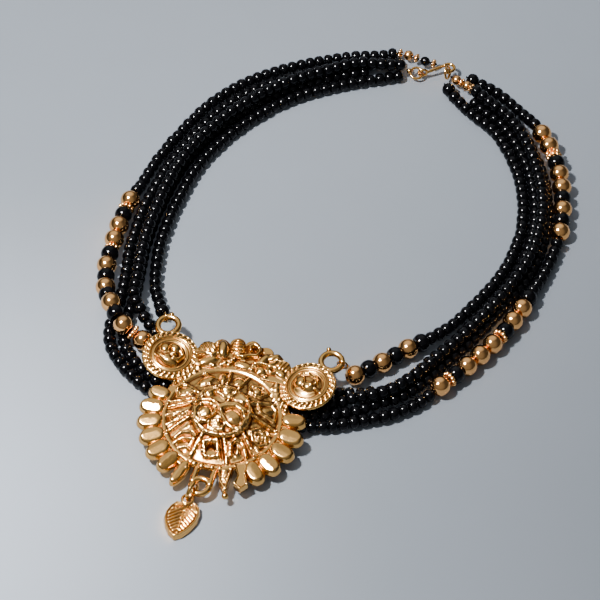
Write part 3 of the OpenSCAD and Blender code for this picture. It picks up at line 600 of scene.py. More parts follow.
# Seed beads and thread of one string, standing for its solid: outerLeft for
# outer_left_string, and so on
def addString(string, seed):
    rng = np.random.default_rng(seed)
    route = routes[string]
    whole = runOf(route)[-1]
    pile = Pile()
    for low, high in seedRows(string):
        count = round((high - low) / seedSet["pitch"])
        pitch = (high - low) / count
        s = low + (np.arange(count) + 0.5) * pitch
        ahead = onCurve(route, np.minimum(s + seedSet["aimOver"], whole))
        way = unit(ahead - onCurve(route, s - seedSet["aimOver"]))
        way = way + rng.normal(0, seedSet["tilt"], (count, 3))
        drift = rng.normal(0, seedSet["drift"], (count, 3)) * [1, 1, seedSet["driftUp"]]
        places = onCurve(route, s) + drift
        places[:, 2] = np.maximum(places[:, 2], seedSet["lowest"])
        size = 1 + rng.normal(0, seedSet["size"], (count, 3))
        size[:, 1] = size[:, 0]
        stretch = 1 + rng.normal(0, seedSet["lengthSpread"], count)
        size[:, 2] = pitch / seedSet["pitch"] * stretch
        size = np.clip(size, *seedSet["sizeLimits"])
        spin = rng.uniform(0, 2 * math.pi, count)
        marks = rng.uniform(0, 1, count)
        copies(pile, seedShape, places, way, size, spin, marks)
    path = onCurve(route, np.linspace(0, whole, int(whole / seedSet["threadStep"])))
    pile.add(*tubeShape(path, seedSet["thread"], seedSet["threadSides"]))
    node = string.replace("Left", "_left").replace("Right", "_right") + "_string"
    pile.piece("seeds_" + string, seedGlass, "seed_glass", node)


for seed, string in enumerate(routes):
    addString(string, seed + 1)
print("strings threaded")


# One piece of beads: the wanted kinds of some groups, standing for the nodes
def addBeadPiece(name, material, slotName, wanted, groupNames, nodes):
    pile = Pile()
    for group in groupNames:
        addBeads(pile, group, wanted, np.random.default_rng(len(name)))
    pile.piece(name, material, slotName, *nodes)


goldCounts = {"left": 8, "upper": 6, "lower": 6, "inner": 3}
for group, count in goldCounts.items():
    nodes = ["%s_gold_%d" % (group, number + 1) for number in range(count)]
    addBeadPiece("gold_beads_" + group, satinGold, "gold_bead", "g", [group], nodes)
for group in goldCounts:
    name = "black_beads_" + group
    addBeadPiece(name, beadGlass, "black_glass", "k", [group], [group + "_black_beads"])
claspGroups = ["claspLeft", "claspOuter", "claspInner"]
addBeadPiece("black_bead_loop", beadGlass, "black_glass", "c", ["leftLast"], ["left_loop_bead"])
addBeadPiece("black_beads_clasp", beadGlass, "black_glass", "cm", claspGroups, ["clasp_black_beads"])
for name, wanted, group, node in (
    ("granules_left", "fs", "left", "left_spacers"),
    ("granules_upper", "w", "upper", "upper_spacer"),
    ("granules_lower", "f", "lower", "lower_spacers"),
    ("clasp_gold_left", "nb", "claspLeft", "clasp_left_gold"),
    ("clasp_gold_right", "nb", "claspTop", "clasp_right_gold"),
):
    addBeadPiece(name, grainGold, "granulated_gold", wanted, [group], [node])
print("beads strung")

# Small rings and the hook keep their solids and take the wire's finish
for node in ("left_link", "right_link", "drop_ring", "left_ring", "right_ring", "hook"):
    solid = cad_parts[node]
    solid.data.materials.clear()
    solid.data.materials.append(wireGold)

# Pendant: places in mm in its own frame, +y toward the crest, z up from its
# back, angles in degrees
pendantSet = {
    "at": (-33.1, -56.1), "back": 3.9, "turn": -16.0, "pitch": 4.0, "discR": 17.5,
    "bossHeight": 4.7, "sideAt": (20.8, 16.5), "sideR": 8.3, "sideTilt": 7.0,
    "skirtR": 19.3,
}

# Cast plates: grid is (sides, steps), edge how wide the rounded edge is, and
# under the rows from the rim round to the back, as (share of reach, height)
plates = {
    "disc": {
        "grid": (400, 82),
        "edge": 0.45,
        "under": [(1.0, 0.6), (0.96, 0.0), (0.8, 0.0), (0.15, 1.3)],
    },
    "web": {"grid": (240, 40), "edge": 0.5},
    "side": {"grid": (210, 42), "edge": 0.35, "under": [(1.0, 1.7), (0.8, 0.0)]},
    "petal": {"grid": (44, 13), "edge": 1.1},
    "crest": {"grid": (280, 46), "edge": 0.5},
    "tail": {"grid": (120, 20), "edge": 0.4},
    "finial": {"grid": (120, 24), "edge": 0.5},
    "leaf": {"grid": (240, 70), "edge": 0.4},
}
plainUnder = [(1.0, 0.0), (0.97, 0.0)]
plateLevels = {"web": 1.2, "crest": 1.7, "tail": 2.2, "finial": 2.0}
plateCrowding = 0.85  # nearer 0, more of the rows lie near the rim
# Wire, rods and balls: how finely they are divided, and their mark
smallSet = {
    "wireSides": 14, "ballSteps": 13, "ballSides": 24, "rodSteps": 6, "rodSides": 20,
    "mark": 0.05,
}


# Points with the plane of two axes turned, first toward second
def spun(points, first, second, degrees):
    cosine, sine = math.cos(math.radians(degrees)), math.sin(math.radians(degrees))
    out = points.copy()
    out[:, first] = points[:, first] * cosine - points[:, second] * sine
    out[:, second] = points[:, first] * sine + points[:, second] * cosine
    return out


# Points into the world: from the floor under the pendant, here, and below
# from the tilted pendant and from a side disc tilted on it
def onFloor(points):
    spot = np.array([*pendantSet["at"], 0.0]) + centreShift
    return spun(points, 0, 1, pendantSet["turn"]) + spot


def onPendant(points):
    return onFloor(spun(points, 1, 2, pendantSet["pitch"]) + [0, 0, pendantSet["back"]])


def onSide(side):
    spot = np.array([side * pendantSet["sideAt"][0], pendantSet["sideAt"][1], 0.0])
    return lambda points: onPendant(spun(points, 0, 2, side * pendantSet["sideTilt"]) + spot)


# Distance from each x, y to a line through the given points: the least of the
# distances to its stretches
def fromLine(x, y, points, closed=False):
    points = np.array(points, float)
    ends = np.roll(points, -1, axis=0) if closed else points[1:]
    least = np.full(np.shape(x), np.inf)
    for start, end in zip(points, ends):
        way = end - start
        along = ((x - start[0]) * way[0] + (y - start[1]) * way[1]) / (way @ way)
        share = np.clip(along, 0, 1)
        off = np.hypot(x - start[0] - share * way[0], y - start[1] - share * way[1])
        least = np.minimum(least, off)
    return least


# Round-topped ridge: 1 on its middle line, 0 from its half width outward
def crown(distance, halfWidth):
    return np.sqrt(np.clip(1 - (distance / halfWidth) ** 2, 0, 1))


# Share of the way out of an oval: 0 at its middle, 1 on its edge
def inOval(x, y, cx, cy, rx, ry, degrees):
    cosine, sine = math.cos(math.radians(degrees)), math.sin(math.radians(degrees))
    along = ((x - cx) * cosine + (y - cy) * sine) / rx
    aside = ((y - cy) * cosine - (x - cx) * sine) / ry
    return np.hypot(along, aside)


# A pit's wall goes down from one share of its oval over another
pitWall = {"from": 1.15, "over": 0.4}


# Relief from tables, in mm and degrees: lines (half width, height, points),
# loops the same but closed, domes and pits (cx, cy, rx, ry, turn, height),
# rings with a half width and ribs with a pitch after that, balls (cx, cy, r,
# count, ball radius, height, from, to) in a row round a circle. The highest
# figure wins, then cuts, which are like lines, and pits sink it.
def relief(x, y, figures):
    up = np.zeros(np.shape(x))
    for kind in ("lines", "loops"):
        for halfWidth, height, points in figures.get(kind, []):
            off = fromLine(x, y, points, kind == "loops")
            up = np.maximum(up, height * crown(off, halfWidth))
    for *oval, height in figures.get("domes", []):
        up = np.maximum(up, height * crown(inOval(x, y, *oval), 1.0))
    for *oval, height, halfWidth in figures.get("rings", []):
        off = np.abs(inOval(x, y, *oval) - 1) * min(oval[2:4])
        up = np.maximum(up, height * crown(off, halfWidth))
    for *oval, height, pitch in figures.get("ribs", []):
        cx, cy, turn = oval[0], oval[1], math.radians(oval[4])
        aside = (y - cy) * math.cos(turn) - (x - cx) * math.sin(turn)
        inside = crown(inOval(x, y, *oval), 1.0)
        up = np.maximum(up, height * inside * np.abs(np.cos(aside / pitch * math.pi)))
    for cx, cy, r, count, ballR, height, low, high in figures.get("balls", []):
        angle = np.degrees(np.arctan2(y - cy, x - cx)) % 360
        near = np.radians(np.round(angle / (360 / count)) * (360 / count))
        off = np.hypot(x - cx - r * np.cos(near), y - cy - r * np.sin(near))
        within = (np.degrees(near) >= low) & (np.degrees(near) <= high)
        up = np.maximum(up, height * within * crown(off, ballR))
    for halfWidth, depth, points in figures.get("cuts", []):
        up = up - depth * crown(fromLine(x, y, points), halfWidth)
    for *oval, depth in figures.get("pits", []):
        inside = pitWall["from"] - inOval(x, y, *oval)
        up = up - depth * np.clip(inside / pitWall["over"], 0, 1)
    return up


hollowSet = {"reaches": (0.45, 1.0), "turns": 8, "least": 0.01, "range": 0.13}


# How hollow each point is: the surface's mean height on two circles round it less its own, as a share of
# the range past the least. Cast plates take it as their mark, which paints shade into the hollows.
def hollowOf(height, x, y):
    around = np.zeros(np.shape(x))
    turns, reaches = hollowSet["turns"], hollowSet["reaches"]
    for reach in reaches:
        for k in range(turns):
            angle = 2 * math.pi * k / turns
            around += height(x + reach * math.cos(angle), y + reach * math.sin(angle))
    deep = around / (len(reaches) * turns) - height(x, y)
    return np.clip((deep - hollowSet["least"]) / hollowSet["range"], 0, 1)


# A cast plate: its outline is a reach at each angle round its middle, its top
# the height over x, y. Near the outline the top comes down to the rim along a
# quarter circle, and rows crowd toward it. lay puts the points in the world.
def castPlate(pile, middle, reach, height, lay, grid, edge, under=plainUnder):
    sides, steps = grid
    angle = np.arange(sides) / sides * 2 * math.pi
    far = reach(angle)
    share = np.sin((np.arange(steps) + 1) / steps * math.pi / 2)[:, None] ** plateCrowding
    x = middle[0] + share * far * np.cos(angle)
    y = middle[1] + share * far * np.sin(angle)
    inward = np.clip((1 - share) * far / edge, 0, 1)
    rim = under[0][1]
    z = rim + (height(x, y) - rim) * np.sqrt(1 - (1 - inward) ** 2)
    rows = [np.stack([x, y, z], axis=-1)]
    # painted shade: the hollows are marked darker, fading out over the rounded edge
    marks = [hollowOf(height, x, y) * inward]
    for part, level in under[1:]:
        lowX = middle[0] + part * far * np.cos(angle)
        lowY = middle[1] + part * far * np.sin(angle)
        rows.append(np.stack([lowX, lowY, np.full(sides, level)], axis=-1)[None])
        marks.append(np.zeros((1, sides)))
    top = (*middle, float(height(*np.array(middle, float))))
    low = (*middle, under[-1][1])
    points = np.concatenate([np.concatenate(rows).reshape(-1, 3), [top, low]])
    count = steps + len(under) - 1
    values = np.concatenate([np.concatenate(marks).reshape(-1), [0.0, 0.0]])
    pile.add(lay(points), [gridFaces(count, sides)] + poleFaces(count, sides), values)


# A flat plate of the pendant with figures on it, by its name in plates
def flatPlate(name, middle, reach, figures):
    castPlate(
        pendantPile, middle, reach, lambda x, y: plateLevels[name] + relief(x, y, figures),
        onPendant, **plates[name],
    )


# Height of a turned profile of (share of the radius, level) rows
def profileHeight(r, radius, profile, scale=1.0):
    share, level = np.array(profile).T
    return np.interp(r / radius, share, level * scale)


# Reach of an oval; a power above 2 gives it squarish shoulders
def ovalReach(rx, ry, degrees, power):
    def reach(angle):
        turn = angle - math.radians(degrees)
        long, wide = np.abs(np.cos(turn) / rx), np.abs(np.sin(turn) / ry)
        return (long**power + wide**power) ** (-1 / power)

    return reach


# Reach of a round plate
def roundReach(r):
    return lambda angle: np.full(len(angle), r)


outlineSteps = 24


# Reach of a straight-sided outline seen from its middle, read off points
# spaced along its sides
def outlineReach(middle, points):
    points = np.array(points, float) - middle
    ends = np.roll(points, -1, axis=0)
    t = np.linspace(0, 1, outlineSteps, endpoint=False)[None, :, None]
    along = (points[:, None] * (1 - t) + ends[:, None] * t).reshape(-1, 2)
    bearing = np.arctan2(along[:, 1], along[:, 0]) % (2 * math.pi)
    order = np.argsort(bearing)
    return lambda angle: np.interp(
        angle, bearing[order], np.hypot(*along.T)[order], period=2 * math.pi
    )


# Furthest point of a union of circles and the outline, seen from the middle
def unionReach(middle, base, circles):
    def reach(angle):
        far = base(angle)
        for cx, cy, r in circles:
            dx, dy = cx - middle[0], cy - middle[1]
            along = dx * np.cos(angle) + dy * np.sin(angle)
            aside = dx * np.sin(angle) - dy * np.cos(angle)
            hit = along + np.sqrt(np.clip(r * r - aside**2, 0, None))
            far = np.where(np.abs(aside) < r, np.maximum(far, hit), far)
        return far

    return reach


# A round wire bent into a flat ring: a small circle carried round a large one
def wireRing(pile, centre, r, wire, lay, sides):
    wireSides = smallSet["wireSides"]
    turn = (np.arange(sides) / sides * 2 * math.pi)[:, None]
    roll = np.arange(wireSides) / wireSides * 2 * math.pi
    far = r + wire / 2 * np.cos(roll)
    rise = np.zeros((sides, 1)) + wire / 2 * np.sin(roll)
    points = np.stack([far * np.cos(turn), far * np.sin(turn), rise], axis=-1) + centre
    marks = np.full(sides * wireSides, smallSet["mark"])
    pile.add(lay(points.reshape(-1, 3)), [gridFaces(sides, wireSides, True)], marks)


# A ball: half a circle turned about its axis
def addBall(pile, centre, across, lay, mark):
    lift = np.linspace(-math.pi / 2, math.pi / 2, smallSet["ballSteps"])
    profile = list(zip(np.cos(lift) * across / 2, np.sin(lift) * across / 2))
    points, faces = turned(profile, smallSet["ballSides"], False)
    pile.add(lay(points + np.array(centre)), faces, np.full(len(points), mark))


# A straight rod: a tube between two points
def addRod(pile, start, end, across, lay):
    path = np.linspace(start, end, smallSet["rodSteps"])
    points, faces = tubeShape(path, across / 2, smallSet["rodSides"])
    pile.add(lay(points), faces, np.full(len(points), smallSet["mark"]))


# A place at a distance from the middle, in the direction of an angle
def polar(r, degrees):
    return (r * math.cos(math.radians(degrees)), r * math.sin(math.radians(degrees)))


# Main disc, as shares of [disc radius, boss height] like the solid
discR = pendantSet["discR"]
discProfile = [
    (0, 0.96), (0.25, 0.96), (0.41, 0.9), (0.44, 0.96), (0.475, 0.95), (0.51, 0.76),
    (0.54, 0.72), (0.9, 0.3), (0.915, 0.36), (0.945, 0.4), (0.98, 0.38), (1, 0.3),
]
discFigures = {
    "lines": [
        (0.5, 0.75, [(-16.2, 1.1), (-9.3, 3)]),
        (0.5, 0.75, [(-16.1, -0.7), (-9.1, 1.9)]),
        (0.65, 0.85, [(-13.6, -8.6), (-8.1, -2.9)]),
        (0.65, 0.85, [(-4.8, -14.6), (-3.2, -7.9)]),
        (0.5, 0.75, [(2.7, -6.8), (5.2, -12.9), (5.7, -14.6)]),
        (0.6, 0.8, [(7.1, -4), (12.1, -9.4), (12.9, -10)]),
        (0.6, 0.8, [(8.2, 1.9), (16, -0.7)]),
        (0.7, 0.75, [(7.4, 5.6), (10.2, 7.2), (13.4, 7.6)]),
        (0.45, 0.6, [(2.2, 9.8), (3.6, 15)]),
        (0.45, 0.6, [(-1.6, 10.6), (-1.9, 15.4)]),
        (0.5, 0.6, [(-8.9, 5.6), (-14.7, 9)]),
        (0.5, 0.6, [(-6.6, 9.6), (-8.8, 13.2)]),
        (0.45, 0.75, [(-11, -10.3), (-9.4, -8.2), (-6.2, -7.9), (-5, -8.8)]),
        (0.4, 0.65, [(-10.6, -11.6), (-8.6, -10), (-6.2, -9.9)]),
        (0.4, 0.6, [(-8.9, -12.9), (-7, -12.3), (-5.7, -12.6)]),
        (0.5, 0.8, [(6.1, -12.4), (5.4, -9.4), (6.3, -7.2), (7.9, -7.4), (9.4, -9.2), (10.4, -11.2)]),
        (0.35, 0.6, [(-15.4, -3.2), (-12.2, -2), (-9.3, -1.6)]),
        (0.35, 0.55, [(-14.4, -6.2), (-11.3, -4.2), (-8.9, -3.3)]),
        (0.3, 0.4, [(13.8, -1.2), (15.2, -4)]),
        (0.6, 1.05, [(-8, 0.9), (-6.2, 2.6), (-3.8, 2.9), (-1.3, 1.6), (0.8, 3.1), (3.6, 3.6),
                     (6.6, 2.2)]),
        (0.4, 0.6, [(-6.9, 3.4), (-7, 5.6), (-5.7, 7.6), (-4.5, 8.4)]),
        (0.35, 0.5, [(0.6, 4.4), (1.2, 7.2), (3.2, 8.2)]),
        (0.3, 1, [(2.6, 4.6), (4.4, 5.1), (5.2, 4.2)]),
    ],
    "loops": [
        (0.4, 0.6, [(-15.2, 6.8), (-12.6, 8), (-9.6, 6.4), (-10.6, 4.4), (-14.3, 3.4)]),
        (0.45, 0.7, [(8.9, 6.3), (11.9, 8), (14.4, 5.9), (14.7, 2.4), (10.4, 3.6)]),
        (0.5, 0.8, [(9.8, -3.3), (11.6, -1.9), (14.2, -3.4), (14.7, -5.5), (13, -6.8), (10.8, -5.8)]),
        (0.5, 0.75, [(-2.4, -10), (1.3, -9), (2.9, -13.2), (-0.7, -14.1)]),
        (0.5, 0.8, [(4.8, 11.9), (5.5, 9.4), (8.8, 8.8), (10.3, 10.7), (8.5, 12.6)]),
        (0.55, 0.65, [(-8.3, 0.6), (-7, -4.4), (-2, -7.3), (2.1, -7.4), (5.8, -6), (8.1, -2.4),
                      (7.6, 3.3), (5.2, 6.9), (0.8, 9.2), (-3.8, 9.2), (-6.9, 7.2), (-8.4, 4)]),
        (0.55, 0.9, [(-7.3, -1.4), (-7, 0.6), (-5.9, 1.6), (-3.5, 1.8), (-1.8, 0.8), (-1.7, -1.8),
                     (-2.8, -3.9), (-5, -4.4), (-6.6, -3.3)]),
        (0.65, 1.05, [(-0.9, 1), (0.8, 2.3), (3.2, 2.8), (5.8, 1.8), (7.2, -0.8), (6.9, -3.4),
                      (4.9, -4.8), (2.7, -3.6), (0.4, -1)]),
        (0.4, 0.8, [(-1.1, -1.6), (0.7, -2), (2.1, -3.8), (1.7, -5.6), (-0.5, -6.3), (-2.4, -5.8),
                    (-2.3, -3.4)]),
        (0.45, 0.75, [(-3.2, 6.2), (-3.1, 8.4), (-1.4, 9.4), (0.8, 9.2), (2.2, 7.8), (1.4, 5.8),
                      (-0.8, 5.2)]),
    ],
    "domes": [
        (-12.6, 5.8, 2.2, 1.4, 12, 0.6), (12.4, 5.1, 2.2, 1.6, 28, 0.55), (12.3, -4.3, 0.7, 0.45, -35, 0.7),
        (7.4, -10.2, 0.9, 1.6, 25, 0.5), (7.5, 10.7, 1.5, 1.3, 0, 0.95), (-3.4, 12.6, 1.1, 2, 10, 0.8),
        (1.3, 12.4, 1.7, 1.8, 0, 0.8), (-7.8, 10.6, 2.7, 1.6, 52, 0.8),
        (-4.7, -1.3, 2.2, 2.1, 0, 1), (3.7, -0.9, 2.9, 2.3, -25, 0.9),
        (-0.6, 7.3, 1.7, 1.5, 0, 0.85), (3.9, 5.7, 2.2, 2.1, 0, 0.85), (-5.2, 5.6, 1.4, 1.8, -10, 0.7),
        (-4.4, 8.7, 0.9, 0.9, 0, 1),
    ],
    "rings": [
        (12.3, -4.3, 1.4, 0.95, -35, 0.6, 0.3), (-12.9, -3.9, 1, 0.8, 15, 0.6, 0.35),
        (-10.4, -2.9, 0.8, 0.6, 15, 0.5, 0.3),
    ],
    "ribs": [(-0.2, -4, 1.8, 2.2, 16, 0.85, 0.95)],
    "balls": [
        (0.3, -11.6, 2.5, 14, 0.4, 0.85, 0, 360), (7.5, 10.7, 2, 12, 0.4, 0.7, 0, 360),
    ],
    "cuts": [
        (0.5, 0.7, [(-13.4, -7.5), (-8.6, -2.6)]), (0.55, 0.8, [(-6, -14.2), (-4.2, -8.3)]),
        (0.5, 0.9, [(1.9, -8), (4.3, -13.6)]), (0.5, 0.9, [(8.2, -4.1), (12.8, -9.3)]),
        (0.4, 0.6, [(8.8, 0.8), (15.6, -1.6)]), (0.35, 0.5, [(-15.6, -1.6), (-9.2, 0.8)]),
        (0.4, 0.5, [(-8.9, -1.5), (-7.8, -4.8), (-4.9, -7.6), (-0.2, -8.5), (4.3, -7.6), (7.9, -5)]),
        (0.35, 0.6, [(-1.3, 0.6), (-1.2, -1.4), (-2.5, -3.6)]),
        (0.3, 0.5, [(-7.8, 0.1), (-6, 2), (-3.6, 2.3)]),
    ],
    "pits": [
        (0.3, -11.7, 1.4, 1.8, 16, 1.7), (6.6, -9.7, 0.7, 1.8, 15, 1.4), (-7.8, -11.2, 1.7, 0.7, 25, 1.3),
        (0.8, -3.2, 0.5, 0.9, 20, 0.6), (14.6, -3.6, 0.5, 0.8, 20, 0.3), (-3.4, -5.6, 1.1, 0.6, -20, 0.5),
    ],
}

# Slow waves (height, x pace, x start, y pace, y start) that fade before the rim
discWaves = [(0.12, 1.9, 1.3, 2.3, 0.0), (0.05, 4.1, 0.0, 3.7, 2.0)]
wavesUntil = 15.6
wavesFade = 2.0
wavesShare = 0.6


# Main disc: the turned profile, with the relief and the waves on it
def discHeight(x, y):
    r = np.hypot(x, y)
    base = profileHeight(r, discR, discProfile, pendantSet["bossHeight"])
    waves = sum(
        high * np.sin(x * xPace + xStart) * np.sin(y * yPace + yStart)
        for high, xPace, xStart, yPace, yStart in discWaves
    )
    fade = np.clip((wavesUntil - r) / wavesFade, 0, 1)
    return base + relief(x, y, discFigures) + waves * fade * wavesShare


pendantPile = Pile()
castPlate(pendantPile, (0.0, 0.0), roundReach(discR), discHeight, onPendant, **plates["disc"])
print("main disc cast")

# Low plate under the disc: a skirt at the roots of the petals, and webs with
# rows of granules that join the disc to the side discs
skirtGap = {"at": 281.0, "half": 24.0, "inset": 0.3}
# Circles of the webs (x, y, radius)
webCircles = [(-14.6, 15.6, 5.2), (14.6, 15.6, 5.2), (-8, 19, 4.4), (8, 19, 4.4), (0, 20, 4.6)]
webFigures = {
    "balls": [
        (-20.8, 16.5, 9.1, 34, 0.75, 1.2, 262, 350), (20.8, 16.5, 9.1, 34, 0.75, 1.2, 190, 278),
        (20.8, 16.5, 10.4, 38, 0.7, 1, 190, 258),
    ],
}


# Reach of the skirt: a circle, drawn in under the disc where no petals are
def skirtReach(angle):
    off = np.abs((np.degrees(angle) - skirtGap["at"] + 180) % 360 - 180)
    return np.where(off < skirtGap["half"], discR - skirtGap["inset"], pendantSet["skirtR"])


flatPlate("web", (0.0, 0.0), unionReach((0.0, 0.0), skirtReach, webCircles), webFigures)

# Side discs: smooth rim, rope of slanted granules, two thin rings and a boss
sideProfile = [
    (0, 3.35), (0.2, 3.25), (0.4, 2.85), (0.56, 2.2), (0.62, 2.15), (0.66, 2.4), (0.73, 2.75),
    (0.78, 2.35), (0.8, 2.06), (0.91, 2.06), (0.93, 2.4), (0.96, 2.45), (1, 2.3),
]
sideRings = [(0, 0, 6.05, 6.05, 0, 0.4, 0.35), (0, 0, 4.95, 4.95, 0, 0.6, 0.45)]
sideFigures = {
    -1: {
        "domes": [(-2.3, 1.6, 1.5, 1.7, 0, 0.8), (0.9, 2.2, 2, 1.6, -25, 1),
                  (0.3, -2.6, 2.6, 1.1, -8, 0.8)],
        "lines": [
            (0.6, 0.9, [(2.6, 1.6), (3.6, 0.2), (2.6, -1.6), (1.2, -1.3)]),
            (0.55, 0.8, [(-3.8, -1.2), (-1.8, -2.1), (-0.2, -1)]),
            (0.45, 0.8, [(-0.3, 0.9), (0.3, -0.2), (1.6, -0.1)]),
        ],
        "rings": sideRings,
        "pits": [(-0.4, 0.9, 0.5, 1.3, 20, 0.8), (-2, -0.6, 1.5, 0.4, 10, 0.6),
                 (2.2, -0.2, 0.4, 0.9, 0, 0.5)],
    },
    1: {
        "domes": [(-2.4, 0.6, 1.9, 2.2, 20, 1), (0.7, -0.9, 1.9, 1.7, 0, 1),
                  (1.5, -0.6, 0.5, 0.5, 0, 1.2)],
        "lines": [
            (0.55, 0.9, [(-2.6, 3.6), (-0.2, 3.8), (1.8, 2.6), (2.5, 0.6)]),
            (0.45, 0.7, [(2.8, -1.2), (4.3, -1.8)]),
        ],
        "rings": sideRings,
        "pits": [(-0.7, 1.5, 0.4, 1.7, 12, 0.8), (1.6, 1.6, 0.4, 1.3, -20, 0.6)],
    },
}

ropeSet = {"count": 28, "slant": 0.3, "r": 7.05, "half": 0.72, "height": 0.75}


# Rope of slanted ovals, one at each step round the disc
def ropeHeight(x, y):
    across = (np.hypot(x, y) - ropeSet["r"]) / ropeSet["half"]
    turn = np.arctan2(y, x) * ropeSet["count"] / (2 * math.pi) + ropeSet["slant"] * across
    along = (turn - np.round(turn)) * 2
    return ropeSet["height"] * crown(np.hypot(across, along), 1.0)


# Side disc: the turned profile, with the higher of figures and rope on it
def sideHeight(side):
    def height(x, y):
        base = profileHeight(np.hypot(x, y), pendantSet["sideR"], sideProfile)
        return base + np.maximum(relief(x, y, sideFigures[side]), ropeHeight(x, y))

    return height


for side in (-1, 1):
    reach = roundReach(pendantSet["sideR"])
    castPlate(pendantPile, (0.0, 0.0), reach, sideHeight(side), onSide(side), **plates["side"])
print("side discs cast")

# Petals (bearing, tip, width): fat ovals side by side, each a dome cut by two
# facets that meet along a crease, a little off the middle
petals = [
    (169, 23.7, 5), (183, 24.4, 5.7), (197, 24.5, 5.7), (211, 24.4, 5.7), (225, 24.4, 5.6),
    (239, 24.4, 5.2), (253, 25.9, 3.8), (13, 24.2, 5.6), (-3, 24.4, 5.8), (-18, 24.4, 5.8),
    (-33, 24.4, 5.7), (-47, 24.4, 5.6),
]
petalSet = {
    "root": 16.2, "base": 0.7, "dome": 2.0, "domeReach": 1.12, "crease": 2.45,
    "creaseOff": 0.3, "fall": 0.07,
    "steep": (0.18, 0.3),  # slope of the first facet, by turns from petal to petal
    "slopeSum": 0.45, "squareness": 2.2,
}


# Petal: the lower of the dome and the facets, which fall away from the crease
# on both sides and toward the tip
def petalHeight(middle, half, width, degrees, steep):
    out = polar(1.0, degrees)

    def height(x, y):
        forward = (x - middle[0]) * out[0] + (y - middle[1]) * out[1]
        aside = (y - middle[1]) * out[0] - (x - middle[0]) * out[1] + petalSet["creaseOff"]
        share = inOval(x, y, *middle, half, width / 2, degrees)
        dome = petalSet["base"] + petalSet["dome"] * crown(share, petalSet["domeReach"])
        slope = np.where(aside > 0, steep, petalSet["slopeSum"] - steep)
        facets = petalSet["crease"] - petalSet["fall"] * forward - slope * np.abs(aside)
        return np.minimum(dome, facets)

    return height


for number, (degrees, tip, width) in enumerate(petals):
    middle = polar((tip + petalSet["root"]) / 2, degrees)
    half = (tip - petalSet["root"]) / 2
    height = petalHeight(middle, half, width, degrees, petalSet["steep"][number % 2])
    reach = ovalReach(half, width / 2, degrees, petalSet["squareness"])
    castPlate(pendantPile, middle, reach, height, onPendant, **plates["petal"])

# Crest: a scalloped band of lobes, scrolls and granules between the side discs
crestMiddle = (0, 20.5)
crestBand = [
    (-15.2, 15.4), (-15, 20.2), (-13.2, 22.8), (-8, 24.4), (-3, 26), (2, 26), (7, 24.6),
    (11.9, 22.8), (14.8, 20.4), (15.2, 15.4), (7, 15.4), (0, 16.4), (-7, 15.6),
]
crestLobes = [
    (-11.3, 22.1, 2.5), (-7.6, 24.1, 2.3), (-3, 25.6, 2.4), (1.5, 25.8, 2.4), (6, 24.6, 2.3),
    (9.7, 22.8, 2.2), (12.5, 21.1, 2),
]
crestFigures = {
    "domes": [
        (-6.6, 22.6, 1.7, 3.1, 14, 1.5), (-9.7, 17.7, 2.9, 1.5, 32, 0.9), (-4.6, 18.1, 1, 1, 0, 1),
        (-3, 19.6, 0.9, 0.9, 0, 0.9), (5.9, 21.9, 1.3, 2.5, -28, 1.2), (8.6, 23.4, 1.2, 2.2, -50, 1.1),
        (0.6, 18.7, 2.6, 1.3, -6, 0.7), (6.1, 18.2, 1.7, 1.3, -20, 0.9), (11.9, 18.6, 1.9, 1.2, -30, 0.8),
    ],
    "ribs": [
        (-10.9, 21.6, 2.7, 2.6, 130, 1.2, 1.1), (-2.4, 24.2, 1.9, 3, 12, 1.4, 1.1),
        (11.9, 21.6, 2.3, 2.2, 60, 1.1, 1),
    ],
    "lines": [
        (0.65, 1.4, [(-2, 20.9), (-0.2, 21.2), (1.5, 22.2), (3.6, 22.6), (4.2, 24), (3.4, 25.6)]),
        (0.6, 1.3, [(3.4, 25.6), (1.9, 26.2), (0.9, 25.2), (1.4, 24)]),
        (0.5, 1.1, [(-13.4, 18.6), (-11, 20), (-8.9, 19.6), (-8.2, 20.8)]),
        (0.5, 1, [(3.4, 19.2), (4.6, 20.6), (7.8, 20.4), (9.4, 21.6), (9.8, 23.4)]),
    ],
    "rings": [(9.2, 19.2, 1.2, 1.1, 0, 0.9, 0.45)],
    "balls": [(0, 0, 18.2, 50, 0.7, 0.6, 62, 118)],
    "pits": [(2.5, 24.6, 0.6, 0.6, 0, 0.7), (-8.6, 22.8, 0.4, 1.6, 15, 0.5),
             (4.6, 23.4, 0.4, 1.2, -20, 0.5)],
}
crestReach = unionReach(crestMiddle, outlineReach(crestMiddle, crestBand), crestLobes)
flatPlate("crest", crestMiddle, crestReach, crestFigures)

# Fishtail plate and pointed finial at the lower right
tailMiddle = (10.9, -17.2)
tailOutline = [(7.6, -14), (11.9, -12.4), (12, -16.5), (13.6, -19.9), (11.9, -22), (9.6, -20.7),
               (9.8, -17.6)]
tailFigures = {"loops": [(0.5, 0.3, tailOutline)]}
flatPlate("tail", tailMiddle, outlineReach(tailMiddle, tailOutline), tailFigures)
finialMiddle = (6.4, -18.8)
finialOutline = [(3.6, -16.6), (8.2, -15.4), (8.3, -20.3), (8.4, -23.7), (7.4, -23.8), (5.3, -21.1)]
finialFigures = {
    "loops": [(0.4, 0.5, [(4.2, -17.2), (7.7, -16.2), (7.8, -20.3), (7.8, -22.8), (5.8, -20.8)])],
    "ribs": [(6.6, -18.9, 1.2, 2.4, 16, 0.5, 0.9)],
}
flatPlate("finial", finialMiddle, outlineReach(finialMiddle, finialOutline), finialFigures)

